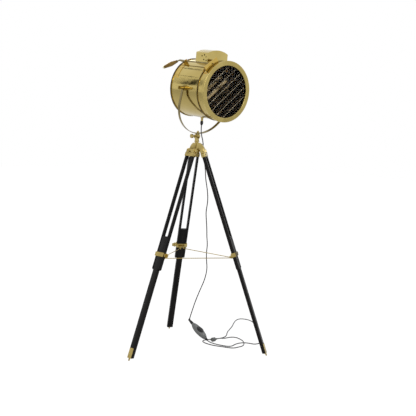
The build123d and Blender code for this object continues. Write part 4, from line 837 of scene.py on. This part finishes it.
PLUG_BACK = on_lamp(LOOP_ROUTE[-1])
PLUG_FRONT = on_lamp((200, 27, 13))
plug_turn = (PLUG_FRONT - PLUG_BACK).to_track_quat("Z", "Y").to_matrix()
plug_reach = (PLUG_FRONT - PLUG_BACK).length
SLEEVE_LENGTH = 0.018
PLUG_FACE = 0.046
PLUG_RIBS = 4
PLUG_RIB_PITCH = 0.0036
BLADE_THICKNESS = 0.0016
BLADE_WIDTH = 0.006
BLADE_OFFSET = 0.00635
BLADE_ROOT = 0.002
BLADE_ROUND = 0.0006
sleeve_shape = spun_shape(ribbed_profile(0.004, 0.0066, SLEEVE_LENGTH, 5, 0.0006))
body_profile = [
    (0, SLEEVE_LENGTH - 0.0005), (0.0068, SLEEVE_LENGTH - 0.0005), (0.0112, SLEEVE_LENGTH + 0.004)]
for ring in range(PLUG_RIBS):
    start = SLEEVE_LENGTH + 0.008 + ring * PLUG_RIB_PITCH
    body_profile += [
        (0.0126, start), (0.0117, start + 0.0007), (0.0117, start + 0.0016), (0.0126, start + 0.0023)]
body_profile += [
    (0.013, PLUG_FACE - 0.0045), (0.013, PLUG_FACE - 0.0012), (0.0122, PLUG_FACE), (0, PLUG_FACE)]
body_shape = spun_shape(body_profile)
PLUG_PIECES = [
    add_piece("plug_sleeve", placed(sleeve_shape, plug_turn, PLUG_BACK), grey_plastic),
    add_piece("plug_body", placed(body_shape, plug_turn, PLUG_BACK), grey_plastic)]
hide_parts("plug")
rubbed_steel = lacquered(
    "rubbed_steel", (0.32, 0.32, 0.31), (0.22, 0.22, 0.21), (0.25, 0.38), 20.0, (0.05, 0.0003))
for side in (1, -1):
    blade = bmesh.new()
    bmesh.ops.create_cube(blade, size=1.0)
    blade_length = plug_reach - PLUG_FACE + BLADE_ROOT
    blade_middle = (plug_reach + PLUG_FACE - BLADE_ROOT) / 2
    bmesh.ops.scale(blade, vec=(BLADE_THICKNESS, BLADE_WIDTH, blade_length), verts=blade.verts)
    bmesh.ops.translate(blade, vec=(side * BLADE_OFFSET, 0, blade_middle), verts=blade.verts)
    tip_edges = [edge for edge in blade.edges if all(v.co.z > PLUG_FACE + 0.001 for v in edge.verts)]
    bmesh.ops.bevel(blade, geom=tip_edges, offset=BLADE_ROUND, affect="EDGES", segments=2, profile=0.5,
                    material=-1)
    bmesh.ops.recalc_face_normals(blade, faces=blade.faces)
    name = "plug_blade_right" if side > 0 else "plug_blade_left"
    PLUG_PIECES.append(add_piece(name, placed(blade, plug_turn, PLUG_BACK), rubbed_steel))
for piece in PLUG_PIECES:
    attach(piece, "tripod_head")
loops = cord_piece("cord_loops_run", LOOP_ROUTE, "tripod_head", "cord_loops")


# Studio.
# A wide pale floor under an even white surround, a large soft lamp to the left of
# the camera, a weaker one to the right and one behind, and the photograph's camera.

FLOOR_HALF = 14.0
FLOOR_DROP = 0.0005
FLOOR_GLOW = 1.08
FLOOR_GLOW_SHARE = 0.9
floor_shape = bmesh.new()
bmesh.ops.create_grid(floor_shape, x_segments=1, y_segments=1, size=FLOOR_HALF)
floor_mesh = bpy.data.meshes.new("studio_floor")
floor_shape.to_mesh(floor_mesh)
floor_shape.free()
floor = bpy.data.objects.new("studio_floor", floor_mesh)
floor.location.z = -FLOOR_DROP
bpy.context.scene.collection.objects.link(floor)
floor_material = bpy.data.materials.new("pale_floor")
floor_material.use_nodes = True
floor_tree = floor_material.node_tree
floor_shader = floor_tree.nodes["Principled BSDF"]
floor_shader.inputs["Base Color"].default_value = (0.95, 0.95, 0.95, 1)
floor_shader.inputs["Roughness"].default_value = 0.9
floor_glow = floor_tree.nodes.new("ShaderNodeEmission")
floor_path = floor_tree.nodes.new("ShaderNodeLightPath")
floor_share = floor_tree.nodes.new("ShaderNodeMath")
floor_share.operation = "MULTIPLY"
floor_share.inputs[1].default_value = FLOOR_GLOW_SHARE
floor_glow.inputs["Strength"].default_value = FLOOR_GLOW
floor_mix = floor_tree.nodes.new("ShaderNodeMixShader")
floor_tree.links.new(floor_path.outputs["Is Camera Ray"], floor_share.inputs[0])
floor_tree.links.new(floor_share.outputs[0], floor_mix.inputs[0])
floor_tree.links.new(floor_shader.outputs[0], floor_mix.inputs[1])
floor_tree.links.new(floor_glow.outputs[0], floor_mix.inputs[2])
floor_tree.links.new(floor_mix.outputs[0], floor_tree.nodes["Material Output"].inputs["Surface"])
floor_mesh.materials.append(floor_material)

SURROUND_LIGHT = 0.6
SURROUND_SEEN = 1.0
world = bpy.data.worlds.new("studio_surround")
world.use_nodes = True
bpy.context.scene.world = world
world_tree = world.node_tree
surround = world_tree.nodes["Background"]
surround.inputs["Color"].default_value = (1, 1, 1, 1)
world_path = world_tree.nodes.new("ShaderNodeLightPath")
seen = None
for ray in ("Is Camera Ray", "Is Glossy Ray", "Is Transmission Ray"):
    if seen is None:
        seen = world_path.outputs[ray]
        continue
    either = world_tree.nodes.new("ShaderNodeMath")
    either.operation = "MAXIMUM"
    world_tree.links.new(seen, either.inputs[0])
    world_tree.links.new(world_path.outputs[ray], either.inputs[1])
    seen = either.outputs[0]
level = world_tree.nodes.new("ShaderNodeMapRange")
level.inputs["To Min"].default_value = SURROUND_LIGHT
level.inputs["To Max"].default_value = SURROUND_SEEN
world_tree.links.new(seen, level.inputs["Value"])
world_tree.links.new(level.outputs["Result"], surround.inputs["Strength"])

LAMPS = (
    ("soft_key", (-3.0, -2.6, 3.4), 2.4, 70.0),
    ("soft_fill", (3.6, 0.2, 2.4), 1.6, 18.0),
    ("soft_back", (1.2, 3.6, 2.8), 2.0, 30.0))
AIM = Vector((0.09, -0.02, 1.0))
for name, place, size, power in LAMPS:
    lamp = bpy.data.lights.new(name, "AREA")
    lamp.shape = "SQUARE"
    lamp.size = size
    lamp.energy = power
    holder = bpy.data.objects.new(name, lamp)
    holder.location = place
    holder.rotation_euler = (AIM - Vector(place)).to_track_quat("-Z", "Y").to_euler()
    bpy.context.scene.collection.objects.link(holder)

# Black cards hang beside, behind and above the lamp, hidden from the camera. Only
# polished metal shows them: they are cut and placed as the drum's dark reflections.
CARDS = {
    "wing_card": ((-1.94, 2.24, 2.02), (-1.95, 2.16, 2.02), (-1.93, 2.01, 2.26), (-1.88, 1.95, 2.44),
                  (-1.7, 1.92, 2.8), (-1.78, 2.0, 2.66), (-1.56, 2.02, 2.96), (-1.67, 2.08, 2.79),
                  (-1.77, 2.13, 2.6), (-1.89, 2.24, 2.2)),
    "post_card": ((-1.98, 2.19, 1.78), (-1.98, 2.13, 1.78), (-1.97, 2.15, 1.39), (-1.91, 2.21, 1.2)),
    "long_batten": ((-0.41, 2.16, 3.66), (-0.27, 2.16, 3.72), (-0.27, 1.93, 3.72), (-0.41, 1.93, 3.66)),
    "short_batten": ((-1.46, 2.17, 3.07), (-1.36, 2.17, 3.14), (-1.36, 2.02, 3.15), (-1.46, 2.02, 3.08)),
    "right_card": ((2.9, 0.4, 0.4), (2.9, 0.9, 0.4), (2.9, 0.9, 2.2), (2.9, 0.4, 2.2))}
card_black = bpy.data.materials.new("card_black")
card_black.use_nodes = True
card_shader = card_black.node_tree.nodes["Principled BSDF"]
card_shader.inputs["Base Color"].default_value = (0.01, 0.01, 0.01, 1)
card_shader.inputs["Specular IOR Level"].default_value = 0.0
for name, corners in CARDS.items():
    card_shape = bmesh.new()
    outline = card_shape.faces.new([card_shape.verts.new(corner) for corner in corners])
    bmesh.ops.triangulate(card_shape, faces=[outline])
    card_mesh = bpy.data.meshes.new(name)
    card_shape.to_mesh(card_mesh)
    card_shape.free()
    card_mesh.materials.append(card_black)
    card = bpy.data.objects.new(name, card_mesh)
    card.visible_camera = False
    card.visible_diffuse = False
    card.visible_shadow = False
    card.visible_transmission = False
    bpy.context.scene.collection.objects.link(card)

CAMERA_AZIMUTH = math.radians(-40.1)
CAMERA_DISTANCE = 5.315
CAMERA_HEIGHT = 1.406
CAMERA_PITCH = math.radians(6.05)
CAMERA_ROLL = math.radians(2.46)
CAMERA_YAW = math.atan(14.0 / 909.2)
SENSOR_WIDTH = 36.0
LENS_LENGTH = 78.68
to_camera = Vector((math.sin(CAMERA_AZIMUTH), -math.cos(CAMERA_AZIMUTH), 0))
across = Vector((math.cos(CAMERA_AZIMUTH), math.sin(CAMERA_AZIMUTH), 0))
upward = Vector((0, 0, 1))
level_right = across * math.cos(CAMERA_YAW) + to_camera * math.sin(CAMERA_YAW)
level_ahead = across * math.sin(CAMERA_YAW) - to_camera * math.cos(CAMERA_YAW)
tilted_up = upward * math.cos(CAMERA_PITCH) + level_ahead * math.sin(CAMERA_PITCH)
ahead = level_ahead * math.cos(CAMERA_PITCH) - upward * math.sin(CAMERA_PITCH)
right_side = level_right * math.cos(CAMERA_ROLL) + tilted_up * math.sin(CAMERA_ROLL)
top_side = tilted_up * math.cos(CAMERA_ROLL) - level_right * math.sin(CAMERA_ROLL)
camera_place = lamp_axis + to_camera * CAMERA_DISTANCE + upward * CAMERA_HEIGHT
camera_data = bpy.data.cameras.new("photo_camera")
camera_data.sensor_width = SENSOR_WIDTH
camera_data.lens = LENS_LENGTH
camera = bpy.data.objects.new("photo_camera", camera_data)
camera.matrix_world = Matrix((
    (right_side.x, top_side.x, -ahead.x, camera_place.x),
    (right_side.y, top_side.y, -ahead.y, camera_place.y),
    (right_side.z, top_side.z, -ahead.z, camera_place.z),
    (0, 0, 0, 1)))
bpy.context.scene.collection.objects.link(camera)
bpy.context.scene.camera = camera
bpy.context.scene.view_settings.view_transform = "Standard"
